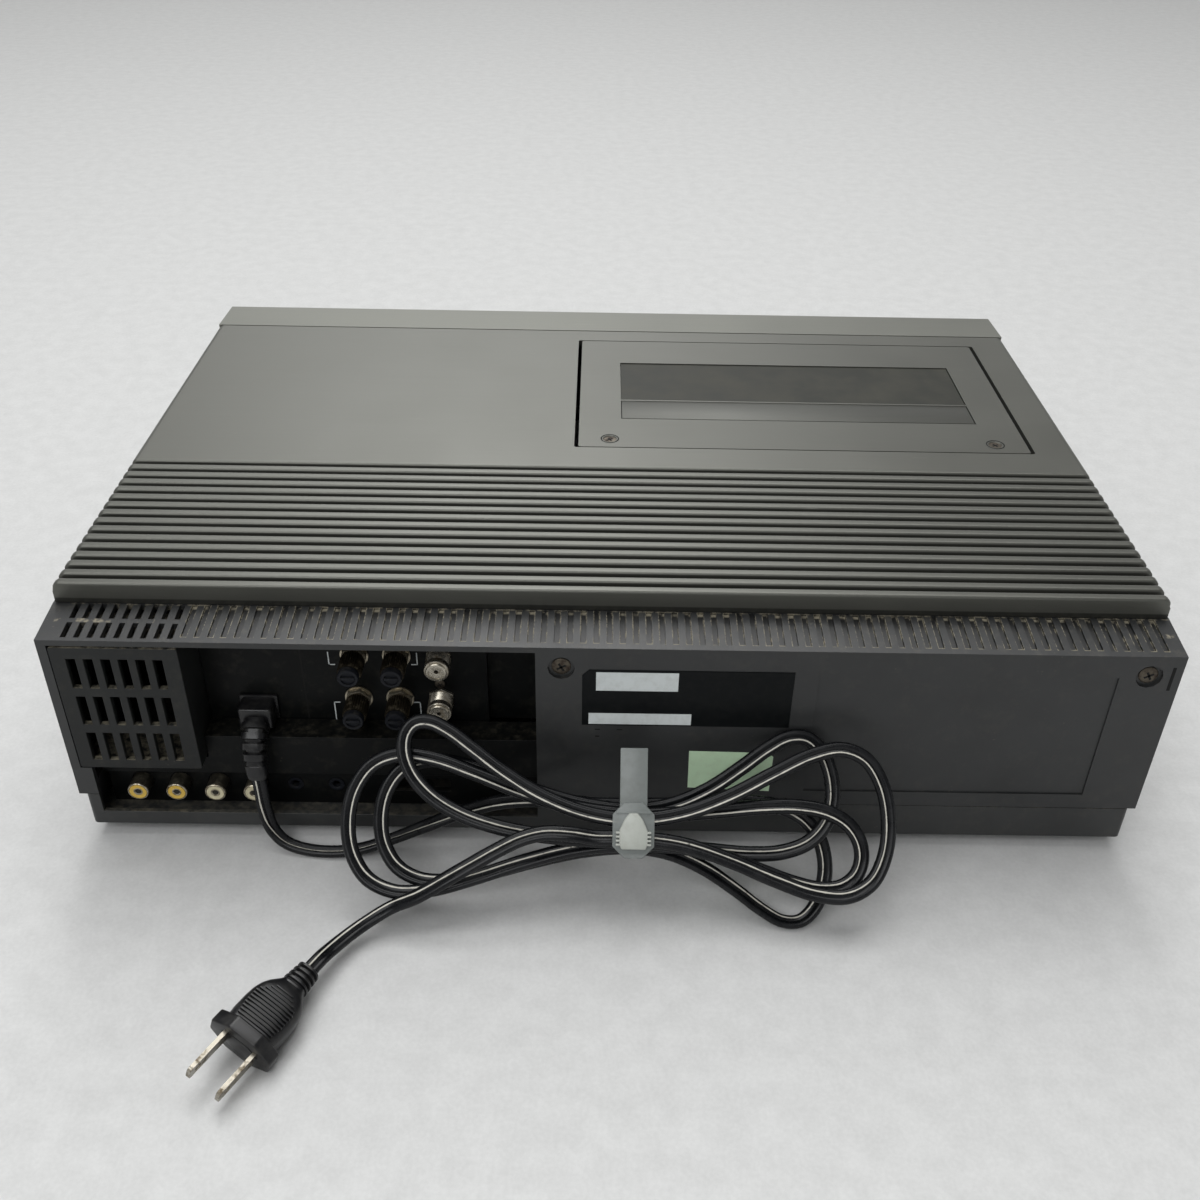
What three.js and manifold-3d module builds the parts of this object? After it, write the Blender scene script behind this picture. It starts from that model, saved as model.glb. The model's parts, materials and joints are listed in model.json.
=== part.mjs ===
// A top-loading video cassette recorder, seen from behind it: +X left, +Y rear, +Z up, millimetres.
// The origin is on the table, under the middle of the cabinet.
import * as THREE from 'three';
import { mergeVertices } from 'three/addons/utils/BufferGeometryUtils.js';
import Module from 'manifold-3d';

const wasm = await Module();
wasm.setup();

// Driving sizes

const cabinet = { width: 432, depth: 320, height: 112, wall: 2.5 };

const fit = { seat: 0.3, running: 0.4, overrun: 6 };

const facets = { fine: 20, round: 12, small: 8, arc: 4, corner: 2, slot: 2 };

const foot = { radius: 11, height: 6.1, toe: 0.8, inX: 34, inY: 36, pegRadius: 3, pegHeight: 5 };

const tray = {
  inset: 2.4, wall: 2, floor: 2, height: 16, ventCount: 10, ventPitch: 11, ventWidth: 4,
  ventLength: 42, ventStart: 46, ventY: -62, postRadius: 4.5, standoffRadius: 3.2, bayRim: 6.7,
};

const cover = {
  inset: 1, plate: 3, skirt: 9, rounding: 3, seamFromLid: 13.8, seam: 1, ribCount: 15, rib: 3.95, groove: 2.6,
  grooveDepth: 5, base: 2, stripDepth: 21.4,
};

const strip = {
  drop: 2.2, thickness: 2.5, tuck: 9, slotPitch: 5, slotWidth: 2.2, slotColumns: 9, slotStart: 10.1,
  rowLength: 8.5, rowOneInset: 0.2, rowTwoInset: 11.1, blindDepth: 0.9, blindCount: 75, blindStart: 54.9,
  blindLength: 18.4,
};

const bay = { pastAerial: 39.2, rimFromSide: 3.9, lowRimFromSide: 8, lowRimTop: 36.9 };

const grille = {
  width: 48.6, bottom: 37.2, underStrip: 1, depth: 24, wall: 2, face: 2.5, columns: 6, rows: 3,
  slotPitch: 6.57, slotWidth: 3.6, slotMargin: 5.8, rowGap: 4.2, topMargin: 5.2,
};

const antenna = { setback: 20, thickness: 2.5, bottom: 46, stepWidth: 20, step: 4, topGap: 2.7 };

const terminal = {
  pastAerial: [33.4, 16.7], upShares: [0.652, 0.2514], studRadius: 1.5, collarRadius: 4.9, collar: 3.2,
  bodyRadius: 4.75, body: 9.5,
  neckRadius: 4.1, neck: 0.6, endRadius: 4.2, end: 2.9,
};

const aerial = {
  fromSide: 147.7, upShares: [0.6406, 0.2495], collarRadius: 4.75, collar: 2.4, radius: 4, length: 10,
  bore: 1.2,
};

const jacks = {
  setback: 11.5, ledge: 47.6, faceBottom: 27.9, faceSetback: 8, wall: 2.5, seamZ: 36.5, endFromSide: 8.5,
  z: 20, radius: 4.2, rim: 0.35, reach: 7.3, pitch: 15.9, fromSide: 22, count: 4, bore: 1.6, boreDepth: 5,
  miniFromSide: [85.6, 102.6], miniZ: 19.5, miniRadius: 2.4, blockDepth: 10, blockRise: 8.4, blockMargin: 8,
  slotFromSide: 137.5, slotWidth: 25, slotHeight: 6.8,
};

const notch = { radius: 5.2, depth: 1.5, underCover: 11.7, fromBay: 9.8, fromSide: 12.3 };

const infoRecess = { fromSide: [23.5, 137.2], bottom: 30, underCover: 12.5, depth: 0.6 };

const bezel = { wall: 2.5, lipDrop: 1, slopeRun: 15.7, slopeDrop: 20, bottom: 8.4, flange: 15.7 };

const windowPane = { overPocket: 8, underSlope: 5, thickness: 3, corner: 2 };

const pocket = { fromSide: 16, fromMiddle: 60, z: 41, height: 22, depth: 9.2, wall: 1.5 };

const door = { thickness: 2.2, hingeRadius: 1.1, hingeUp: 1.4, pin: 1.4, grip: 1, gripWidth: 30 };

const knob = {
  fromEnd: 40, radius: 7, length: 6, shaftRadius: 1.6, shaftLength: 5, grooves: 10, grooveRadius: 0.8,
};

const buttons = {
  names: ['power', 'eject', 'rewind', 'play', 'fast_forward', 'stop', 'pause', 'record'],
  fromSide: 28, pastMiddle: 8, between: 4, z: 40, height: 10, corner: 1.2, lip: 1, flange: 1.5, stem: 4,
  stemRadius: 2, travel: 3,
};

const cassette = { fromSide: 127.05, width: 187.3, depth: 103, height: 25, front: -95, aboveDeck: 14.2 };

const lid = {
  margin: 10.8, front: -101.2, rear: 20.5, sideGap: 1.9, endGap: 0.7, corner: 4, paneIn: [18.4, 20.1],
  paneY: [-73.2, -29.4], paneLedge: 1.6, paneThickness: 1.2, paneSink: 0.5,
  stripRear: -8.5, stripSink: 0.8, stripLip: 1.2, screwHead: 3.4, screwRadius: 1.7,
};

const holder = {
  sideClearance: 0.75, roofClearance: 1.3, lipClearance: 0.6, wall: 1.2, lip: 8, frontMargin: 2, rearMargin: 3,
  tabWidth: 14, postRadius: 3.6, postIn: 3.75, postRear: 12.4, postFront: -85, boltRadius: 1.3,
  windowIn: 34.65, windowY: [-79, -31],
};

const lift = {
  length: 70, width: 8, thickness: 2, pinRadius: 2, armGap: 1, earGap: 1, ear: 1.6, pinEnd: 0.25,
  front: { y: -19, up: 20 }, rear: { y: 25, up: 32 }, earMargin: 7, earRound: 99, earSlope: 45,
};

const deck = {
  pastEars: [14.85, 7.75], y: [-112, 122], belowTop: 52, thickness: 1.6, corner: 6, flange: 9, postInset: 7,
  postInsetY: 8,
};

const reel = {
  x: 46.2, y: -52, shaftRadius: 2, tableRadius: 22, tableUp: 4, table: 4, hubRadius: 9, hub: 3.5,
  spindleRadius: 4.6, spindle: 15, tipRadius: 2.6, tip: 3, finReach: 6.4, finWidth: 1.6, below: 5,
};

const drum = {
  x: -3.05, y: 55, radius: 31, tilt: 5, split: 22, top: 40, relief: 1, reliefHeight: 2.5, shaftRadius: 3,
  rimRadius: 12, rimHeight: 1.5,
};

const capstan = {
  fromPinch: 30, y: 35, shaftRadius: 1.5, height: 38, wheelRadius: 27, wheelDrop: 8, wheel: 8, rim: 4, webDrop: 2.5,
  bossRadius: 5, boss: 8,
};

const pinch = {
  fromEnd: 10, y: 52, postRadius: 2, post: 16, hubRadius: 5, reach: 29.9, angle: 246.3, armWidth: 8, armUp: 9,
  arm: 2.5, rollerRadius: 6.5, rollerUp: 20, roller: 14, pinRadius: 1.5, pinAbove: 1,
};

const guide = {
  supply: { from: [-61.05, 14], to: [-42.05, 62] }, takeup: { from: [43.95, 14], to: [35.95, 62] },
  slot: 4, stubRadius: 1.5, baseLength: 11, baseWidth: 9, base: 5, postRadius: 1.4, rollerRadius: 3,
  rollerFrom: 20, roller: 11, flangeRadius: 3.8, flange: 1.2, stub: 4,
};

const soundHead = { fromCapstan: 13, y: 44, width: 11, depth: 12, height: 32, noseRadius: 5, foot: 3 };

const eraseHead = { fromEnd: 40, y: 34, width: 9, depth: 10, height: 30, noseRadius: 4, foot: 3 };

const motor = {
  fromCapstan: [-26, 8], y: 100, radius: 11, shaftRadius: 1.5, shaft: 14, wormRadius: 4, worm: 9, saddle: 4,
};

const board = {
  fromSide: [71, 168], insidePosts: [8, 24], z: 30, thickness: 1.6, standoffIn: 8, chipHeight: 4, chipX: [14, 52],
  chipY: -60, chipDepth: 14, canRadius: 7, canHeight: 18, canX: 80, canY: [-80, -55, -30], shieldX: [12, 62],
  shieldY: [10, 70], shieldHeight: 12,
};

const transformer = {
  fromSide: 38, y: 12, coreWidth: 54, coreDepth: 46, coreHeight: 26, coilWidth: 36, coilDepth: 62, coilHeight: 24,
  legHeight: 10,
};

const tuner = { pastAerial: [-13.3, 49.7], depth: 13.2, below: 9.4, above: 11.6, rib: 1.2, ribCount: 3 };

const cord = { width: 6, thickness: 3, gap: 0.3, step: 8 };

const relief = {
  fromSide: 73.7, z: 54.6, width: 13.6, height: 10, depth: 9.6, corner: 2, sleeveWidth: 9.2, sleeveEnd: 7.6,
  ribs: 6, ringsPerRib: 4, ribDepth: 0.8,
};

// Cord route from the cabinet's rear left corner: out of the relief, down to the table and up to the hank
const leadInPath = [
  [-74.6, 0.6, 33.3], [-74.8, 0.8, 27], [-75.4, 2.2, 18], [-77.8, 5, 10], [-83, 7.5, 4.6], [-91, 9.2, 2.2],
  [-102, 10.4, 2], [-114, 10.4, 3.8], [-127, 9.04, 8.2], [-141, 7.28, 14.05], [-156, 6.15, 21.1],
  [-171, 6.43, 27.15], [-187, 8.95, 31.38], [-202, 12.7, 33.8],
];

// Out of the hank, down to the table and along it to the plug's neck
const leadOutPath = [
  [-201, 33.7, 37.5], [-191, 33.6, 37.6], [-182, 35.1, 35.8], [-173, 37.9, 32.3], [-164, 41.2, 28.3],
  [-154.5, 44.7, 23.9], [-143.6, 47.5, 17.5], [-132.6, 48.3, 11.5], [-125.2, 51.9, 8.6], [-118.4, 57.6, 7.2],
  [-112.5, 65.9, 8],
];

const hank = {
  place: [-225, 21.85, 30.4], lean: 39, layer: 3.6, laneInner: 3.4, laneStep: 1.5, end: 8, steps: 16, climbShare: 0.16,
  widest: 1.3,
};

// The hank's loops from the back to the front: side, reach, half width and tilt in degrees
const loops = [
  { side: -1, reach: 78, half: 16, tilt: -17 }, { side: 1, reach: 98, half: 19, tilt: 2 },
  { side: -1, reach: 80, half: 17, tilt: 16 }, { side: 1, reach: 110, half: 23, tilt: 1 },
  { side: -1, reach: 89, half: 12, tilt: -7 }, { side: 1, reach: 95, half: 10.5, tilt: 22 },
  { side: -1, reach: 98, half: 26, tilt: 3 },
];

const tie = {
  width: 10.5, wall: 1.1, clearance: 0.7, plateWidth: 16, plateHeight: 21, plate: 1.6, cut: 4.5, tail: 20,
  buttonRadius: 6, button: 1.4,
};

const plug = {
  neck: [-107, 76.4, 9.25], heading: 61.2, roll: -20, neckLength: 11.5, neckWidth: 9.5, neckHeight: 8, rings: 4,
  ringDepth: 1, shoulder: 6, gripLength: 14, gripWidth: 21, gripWaist: 17, height: 13, faceLength: 5.5,
  faceWidth: 26, faceHeight: 15, faceCut: [7.5, 4.6], edge: 2.5, grooves: 6, grooveDepth: 0.7,
};

const blade = { apart: 12.7, thickness: 1.5, height: 6.6, length: 17.6, holeRadius: 1.6, holeIn: 4 };

// Places that follow from the sizes

const halfX = cabinet.width / 2;
const rearY = cabinet.depth / 2;
const frontY = -rearY;
const trayUnder = foot.height + fit.seat;
const trayFloor = trayUnder + tray.floor;
const trayTop = trayUnder + tray.height;
const trayFront = frontY + bezel.flange + fit.seat;
const shellBottom = trayTop + fit.seat;
const coverUnder = cabinet.height - cover.plate;
const skirtBottom = cabinet.height - cover.skirt;
const shellTop = skirtBottom - fit.seat;
const coverRear = rearY - cover.stripDepth;
const seamY = lid.front - cover.seamFromLid;
const coverHalf = halfX - cover.inset;
const stripUnder = shellTop - strip.thickness;
const stripLow = stripUnder - strip.drop;
const bayRight = halfX - bay.rimFromSide;
const antennaFace = rearY - antenna.setback;
const jackFace = rearY - jacks.faceSetback;
const jackLower = rearY - jacks.setback;
const panelTop = shellTop - antenna.topGap - fit.seat;
const terminalZ = terminal.upShares.map(upPanel);
const aerialX = halfX - aerial.fromSide;
const bayEdge = aerialX - bay.pastAerial;
const terminalX = terminal.pastAerial.map((apart) => aerialX + apart);
const aerialZ = aerial.upShares.map(upPanel);
const firstJack = halfX - jacks.fromSide;
const jackEnd = halfX - jacks.endFromSide;
const pocketX = [pocket.fromMiddle, halfX - pocket.fromSide];
const pocketTop = pocket.z + pocket.height / 2;
const lipZ = cabinet.height - bezel.lipDrop;
const slopeZ = lipZ - bezel.slopeDrop;
const paneZ = [pocketTop + windowPane.overPocket, slopeZ - windowPane.underSlope];
const knobX = pocketX[1] - knob.fromEnd;
const deckTop = cabinet.height - deck.belowTop;
const deckUnder = deckTop - deck.thickness;
const radian = Math.PI / 180;

// Across the tape deck, from the cassette's middle
const cassetteX = cassette.fromSide - halfX;
const cassetteUnder = deckTop + cassette.aboveDeck;
const lidHalf = cassette.width / 2 + lid.margin;
const holderInner = cassette.width / 2 + holder.sideClearance;
const holderOuter = holderInner + holder.wall;
const holderRoof = cassetteUnder + cassette.height + holder.roofClearance;
const armInner = holderOuter + lift.armGap;
const armOuter = armInner + lift.thickness;
const earInner = armOuter + lift.earGap;
const deckX = [-earInner - lift.ear - deck.pastEars[0], earInner + lift.ear + deck.pastEars[1]];
const pinchX = deckX[1] - pinch.fromEnd;
const capstanX = pinchX - capstan.fromPinch;

function upPanel(share) {
  return antenna.bottom + share * (panelTop - antenna.bottom);
}

// Working tools

function bareMesh(geometry) {
  const loose = geometry.index ? geometry.toNonIndexed() : geometry.clone();
  loose.deleteAttribute('normal');
  loose.deleteAttribute('uv');
  return mergeVertices(loose);
}

function solid(geometry) {
  const merged = bareMesh(geometry);
  const vertProperties = Float32Array.from(merged.attributes.position.array);
  const triVerts = Uint32Array.from(merged.index.array);
  return new wasm.Manifold(new wasm.Mesh({ numProp: 3, vertProperties, triVerts }));
}

function join(...parts) {
  return parts.map((part) => part.isBufferGeometry ? solid(part) : part).reduce((a, b) => a.add(b));
}

function cut(part, ...tools) {
  const start = part.isBufferGeometry ? solid(part) : part;
  return tools.map((tool) => tool.isBufferGeometry ? solid(tool) : tool).reduce((a, b) => a.subtract(b), start);
}

function common(part, other) {
  return solid(part.isBufferGeometry ? part : geometryOf(part)).intersect(solid(other));
}

function geometryOf(part) {
  const made = part.getMesh();
  const geometry = new THREE.BufferGeometry();
  geometry.setAttribute('position', new THREE.BufferAttribute(Float32Array.from(made.vertProperties), 3));
  geometry.setIndex(new THREE.BufferAttribute(Uint32Array.from(made.triVerts), 1));
  return geometry;
}

function block(x, y, z) {
  const geometry = new THREE.BoxGeometry(x[1] - x[0], y[1] - y[0], z[1] - z[0]);
  return geometry.translate((x[0] + x[1]) / 2, (y[0] + y[1]) / 2, (z[0] + z[1]) / 2);
}

function around(centre, size) {
  return [centre - size / 2, centre + size / 2];
}

function grown(span, margin) {
  return [span[0] - margin, span[1] + margin];
}

// An outline on (y, z) runs along x, one on (x, z) along y and one on (x, y) along z
const turned = {
  x: new THREE.Matrix4().set(0, 0, 1, 0, 1, 0, 0, 0, 0, 1, 0, 0, 0, 0, 0, 1),
  y: new THREE.Matrix4().set(1, 0, 0, 0, 0, 0, -1, 0, 0, 1, 0, 0, 0, 0, 0, 1),
  z: new THREE.Matrix4(),
};

function slab(outline, axis, span, curveSegments = facets.corner) {
  const depth = span[1] - span[0];
  const geometry = new THREE.ExtrudeGeometry(outline, { depth, bevelEnabled: false, curveSegments });
  geometry.applyMatrix4(turned[axis]);
  const start = axis === 'y' ? span[1] : span[0];
  return geometry.translate(axis === 'x' ? start : 0, axis === 'y' ? start : 0, axis === 'z' ? start : 0);
}

function outline(points) {
  return new THREE.Shape(points.map((point) => new THREE.Vector2(...point)));
}

function rounded(a, b, radius) {
  const shape = new THREE.Shape();
  shape.absarc(a[1] - radius, b[1] - radius, radius, 0, Math.PI / 2);
  shape.absarc(a[0] + radius, b[1] - radius, radius, Math.PI / 2, Math.PI);
  shape.absarc(a[0] + radius, b[0] + radius, radius, Math.PI, Math.PI * 1.5);
  shape.absarc(a[1] - radius, b[0] + radius, radius, Math.PI * 1.5, Math.PI * 2);
  return shape;
}

function rectangle(a, b) {
  return outline([[a[0], b[0]], [a[1], b[0]], [a[1], b[1]], [a[0], b[1]]]);
}

function rod(axis, radius, span, at, sides = facets.round) {
  const geometry = new THREE.CylinderGeometry(radius, radius, span[1] - span[0], sides);
  const middle = (span[0] + span[1]) / 2;
  if (axis === 'x') {
    return geometry.rotateZ(Math.PI / 2).translate(middle, at[0], at[1]);
  }
  if (axis === 'y') {
    return geometry.translate(at[0], middle, at[1]);
  }
  return geometry.rotateX(Math.PI / 2).translate(at[0], at[1], middle);
}

// A profile of [radius, height] pairs that starts and ends on the axis, turned about it
function turnedPiece(profile, axis, at, sides = facets.fine) {
  const points = profile.map(([radius, along]) => new THREE.Vector2(radius, along));
  const geometry = new THREE.LatheGeometry(points, sides);
  if (axis === 'y') {
    return geometry.translate(at[0], 0, at[1]);
  }
  return geometry.rotateX(Math.PI / 2).translate(at[0], at[1], 0);
}

const model = new THREE.Group();

function add(name, part, finish) {
  const geometry = part.isBufferGeometry ? bareMesh(part) : geometryOf(part);
  geometry.computeVertexNormals();
  const mesh = new THREE.Mesh(geometry, new THREE.MeshStandardMaterial(finish));
  mesh.name = name;
  model.add(mesh);
  return mesh;
}

// The deck and the lid are drawn about the cassette's middle
function onDeck(part) {
  return part.translate(cassetteX, 0, 0);
}

// Finishes

const gunmetal = { color: 0x6d6c6a, roughness: 0.5, metalness: 0.1 };
const charcoal = { color: 0x2a2a2b, roughness: 0.6, metalness: 0 };
const blackPlastic = { color: 0x1d1d1f, roughness: 0.55, metalness: 0 };
const smokedPane = { color: 0x15161a, roughness: 0.15, metalness: 0 };
const zincSteel = { color: 0xa9abab, roughness: 0.4, metalness: 0.9 };
const castAlloy = { color: 0xb4b6b8, roughness: 0.35, metalness: 0.9 };
const nickel = { color: 0xc2bda9, roughness: 0.3, metalness: 0.9 };
const whitePlastic = { color: 0xd9d6cc, roughness: 0.5, metalness: 0 };
const rollerRubber = { color: 0x1a1a1a, roughness: 0.85, metalness: 0 };
const footRubber = { color: 0x262626, roughness: 0.9, metalness: 0 };
const boardGreen = { color: 0x2f5b3a, roughness: 0.6, metalness: 0 };
const coreIron = { color: 0x54585c, roughness: 0.55, metalness: 0.6 };
const jackCream = { color: 0xd8cfae, roughness: 0.45, metalness: 0 };
const cordBlack = { color: 0x151515, roughness: 0.5, metalness: 0 };
const tieClear = { color: 0xb9b9b2, roughness: 0.35, metalness: 0 };
const brassPlate = { color: 0xb9a980, roughness: 0.35, metalness: 0.9 };

// Cabinet

function bottomTray() {
  const half = halfX - tray.inset;
  const inner = half - tray.wall;
  const floor = slab(rounded([-half, half], [trayFront, rearY], tray.wall), 'z', [trayUnder, trayTop]);
  const hollow = block(
    [-inner, inner], [trayFront + tray.wall, rearY - tray.wall], [trayFloor, trayTop + fit.overrun]);
  const bayGap = block(
    [bayEdge, halfX - bay.lowRimFromSide],
    [rearY - tray.wall - fit.overrun, rearY + fit.overrun],
    [trayUnder + tray.bayRim, trayTop + fit.overrun],
  );
  const vents = [];
  for (const side of [-1, 1]) {
    for (let i = 0; i < tray.ventCount; i += 1) {
      const x = side * (tray.ventStart + tray.ventPitch * i);
      vents.push(rectangle(around(x, tray.ventWidth), around(tray.ventY, tray.ventLength)));
    }
  }
  const ventCut = slab(vents, 'z', [trayUnder - fit.overrun, trayFloor + fit.overrun]);
  const pegHoles = footPlaces.map(([, x, y]) => rod(
    'z', foot.pegRadius + fit.seat, [trayUnder - fit.overrun, trayFloor + fit.overrun], [x, y], facets.small));
  const posts = deckPosts.map((at) => rod('z', tray.postRadius, [trayUnder, deckUnder - fit.seat], at));
  const standoffs = boardPosts.map((at) => rod(
    'z', tray.standoffRadius, [trayUnder, board.z - fit.seat], at, facets.small));
  return cut(join(cut(floor, hollow, bayGap, ventCut), ...posts, ...standoffs), ...pegHoles);
}

const footPlaces = [
  ['foot_rear_left', halfX - foot.inX, rearY - foot.inY],
  ['foot_rear_right', foot.inX - halfX, rearY - foot.inY],
  ['foot_front_left', halfX - foot.inX, foot.inY - rearY],
  ['foot_front_right', foot.inX - halfX, foot.inY - rearY],
];

const deckPosts = [];
for (const x of [cassetteX + deckX[0] + deck.postInset, cassetteX + deckX[1] - deck.postInset]) {
  for (const y of [deck.y[0] + deck.postInsetY, deck.y[1] - deck.postInsetY]) {
    deckPosts.push([x, y]);
  }
}

const boardX = [halfX - board.fromSide[1], halfX - board.fromSide[0]];
const boardY = [
  deck.y[0] + deck.postInsetY + board.insidePosts[0], deck.y[1] - deck.postInsetY - board.insidePosts[1],
];
const boardPosts = [];
for (const x of [boardX[0] + board.standoffIn, boardX[1] - board.standoffIn]) {
  for (const y of [boardY[0] + board.standoffIn, boardY[1] - board.standoffIn]) {
    boardPosts.push([x, y]);
  }
}

function rubberFoot([, x, y]) {
  const profile = [
    [0, 0], [foot.radius - foot.toe, 0], [foot.radius, foot.toe], [foot.radius, foot.height],
    [foot.pegRadius, foot.height], [foot.pegRadius, foot.height + foot.pegHeight],
    [0, foot.height + foot.pegHeight],
  ];
  return turnedPiece(profile, 'z', [x, y], facets.round);
}

function cabinetShell() {
  const inner = halfX - cabinet.wall;
  const sideOutline = outline([
    [trayFront, shellBottom], [rearY, shellBottom], [rearY, shellTop - strip.drop], [coverRear, shellTop],
    [trayFront, shellTop],
  ]);
  const stripOutline = outline([
    [coverRear - strip.tuck, stripUnder], [coverRear, stripUnder], [rearY, stripLow],
    [rearY, shellTop - strip.drop], [coverRear, shellTop], [coverRear - strip.tuck, shellTop],
  ]);
  const lowRight = halfX - bay.lowRimFromSide;
  const wallTop = shellTop - strip.drop;
  const rearOutline = outline([
    [-halfX, shellBottom], [bayEdge, shellBottom], [bayEdge, stripLow], [bayRight + fit.seat, stripLow],
    [bayRight + fit.seat, bay.lowRimTop], [lowRight, bay.lowRimTop], [lowRight, shellBottom], [halfX, shellBottom],
    [halfX, wallTop], [-halfX, wallTop],
  ]);
  const returnWall = block(
    [bayEdge - cabinet.wall, bayEdge], [antennaFace - antenna.step - antenna.thickness, rearY],
    [shellBottom, stripLow],
  );
  const body = join(
    slab(sideOutline, 'x', [inner, halfX]),
    slab(sideOutline, 'x', [-halfX, -inner]),
    slab(stripOutline, 'x', [-halfX, halfX]),
    slab(rearOutline, 'y', [rearY - cabinet.wall, rearY]),
    returnWall,
  );
  const recess = block(
    infoRecess.fromSide.map((inset) => inset - halfX), [rearY - infoRecess.depth, rearY + fit.overrun],
    [infoRecess.bottom, shellTop - infoRecess.underCover],
  );
  const notches = [bayEdge - notch.fromBay, notch.fromSide - halfX].map((x) => rod(
    'y', notch.radius, [rearY - notch.depth, rearY + fit.overrun], [x, shellTop - notch.underCover]));
  return cut(body, stripSlots(), blindGrooves(), recess, ...notches);
}

function stripSlots() {
  const slots = [];
  for (let i = 0; i < strip.slotColumns; i += 1) {
    const x = around(halfX - strip.slotStart - strip.slotPitch * i, strip.slotWidth);
    for (const inset of [strip.rowOneInset, strip.rowTwoInset]) {
      const start = coverRear + inset;
      slots.push(rectangle(x, [start, start + strip.rowLength]));
    }
  }
  return slab(slots, 'z', [stripLow - fit.overrun, shellTop + fit.overrun]);
}

function blindGrooves() {
  const marks = [];
  for (let i = 0; i < strip.blindCount; i += 1) {
    const x = around(halfX - strip.blindStart - strip.slotPitch * i, strip.slotWidth);
    marks.push(rectangle(x, [strip.rowOneInset, strip.blindLength]));
  }
  const cutter = slab(marks, 'z', [-strip.blindDepth, fit.overrun]);
  const slope = Math.atan2(strip.drop, cover.stripDepth);
  return cutter.rotateX(-slope).translate(0, coverRear, shellTop);
}

function topCover() {
  const pitch = cover.rib + cover.groove;
  const ribStart = coverRear - cover.ribCount * pitch;
  const grooveFloor = cabinet.height - cover.grooveDepth;
  const baseUnder = grooveFloor - cover.base;
  const front = seamY + cover.seam / 2;
  const points = [[front, cabinet.height]];
  for (let i = 0; i < cover.ribCount; i += 1) {
    const start = ribStart + i * pitch;
    points.push([start, cabinet.height], [start, grooveFloor]);
    points.push([start + cover.groove, grooveFloor], [start + cover.groove, cabinet.height]);
  }
  points.push([coverRear, cabinet.height], [coverRear, skirtBottom], [coverRear - cabinet.wall, skirtBottom]);
  points.push([coverRear - cabinet.wall, baseUnder], [ribStart - cabinet.wall, baseUnder]);
  points.push([ribStart - cabinet.wall, coverUnder], [front, coverUnder]);
  const plate = slab(outline(points.reverse()), 'x', [-coverHalf, coverHalf]);
  const skirts = [-1, 1].flatMap((side) => {
    const x = [side * coverHalf, side * (coverHalf - cabinet.wall)].sort((a, b) => a - b);
    return [
      block(x, [front, ribStart], [skirtBottom, coverUnder + cover.plate / 2]),
      block(x, [ribStart - cabinet.wall, coverRear], [skirtBottom, baseUnder + cover.base / 2]),
    ];
  });
  const section = new THREE.Shape();
  section.moveTo(-coverHalf, skirtBottom - fit.overrun);
  section.lineTo(coverHalf, skirtBottom - fit.overrun);
  section.absarc(coverHalf - cover.rounding, cabinet.height - cover.rounding, cover.rounding, 0, Math.PI / 2);
  section.absarc(cover.rounding - coverHalf, cabinet.height - cover.rounding, cover.rounding, Math.PI / 2, Math.PI);
  const envelope = slab(section, 'y', [front - fit.overrun, coverRear + fit.overrun]);
  const opening = rounded(
    around(cassetteX, 2 * (lidHalf + lid.sideGap)), [lid.front - lid.endGap, lid.rear + lid.endGap], lid.corner);
  const hole = slab(opening, 'z', [skirtBottom - fit.overrun, cabinet.height + fit.overrun]);
  return cut(common(join(plate, ...skirts), envelope), hole);
}

function grillePiece() {
  const x = [bayRight - grille.width, bayRight];
  const z = [grille.bottom, stripLow - grille.underStrip];
  const rowPitch = (z[1] - z[0] - grille.topMargin) / grille.rows;
  const slots = [];
  for (let column = 0; column < grille.columns; column += 1) {
    const middle = bayRight - grille.slotMargin - grille.slotWidth / 2 - column * grille.slotPitch;
    for (let row = 0; row < grille.rows; row += 1) {
      const top = z[1] - grille.topMargin - row * rowPitch;
      slots.push(rectangle(around(middle, grille.slotWidth), [top - rowPitch + grille.rowGap, top]));
    }
  }
  const ring = rounded(x, z, grille.wall / 2);
  ring.holes.push(rectangle(grown(x, -grille.wall), grown(z, -grille.wall)));
  const body = join(
    slab(rounded(x, z, grille.wall / 2), 'y', [rearY - grille.face, rearY], facets.slot),
    slab(ring, 'y', [rearY - grille.depth, rearY - grille.face / 2], facets.slot),
  );
  return cut(body, slab(slots, 'y', [rearY - grille.face - fit.overrun, rearY + fit.overrun]));
}

function antennaPanel() {
  const left = bayEdge + fit.seat;
  const right = bayRight - grille.width - fit.seat;
  const stepX = left + antenna.stepWidth;
  const back = antennaFace - antenna.thickness;
  const section = outline([
    [left, antennaFace - antenna.step], [left, back - antenna.step], [stepX + antenna.thickness, back - antenna.step],
    [stepX + antenna.thickness, back], [right, back], [right, antennaFace], [stepX, antennaFace],
    [stepX, antennaFace - antenna.step],
  ]);
  const plate = slab(section, 'z', [antenna.bottom, panelTop]);
  const through = [back - fit.overrun, antennaFace + fit.overrun];
  const holes = [];
  for (const z of aerialZ) {
    holes.push(rod('y', aerial.radius + fit.seat, through, [aerialX, z]));
  }
  for (const x of terminalX) {
    for (const z of terminalZ) {
      holes.push(rod('y', terminal.studRadius + fit.seat, through, [x, z], facets.small));
    }
  }
  return cut(plate, ...holes);
}

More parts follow.
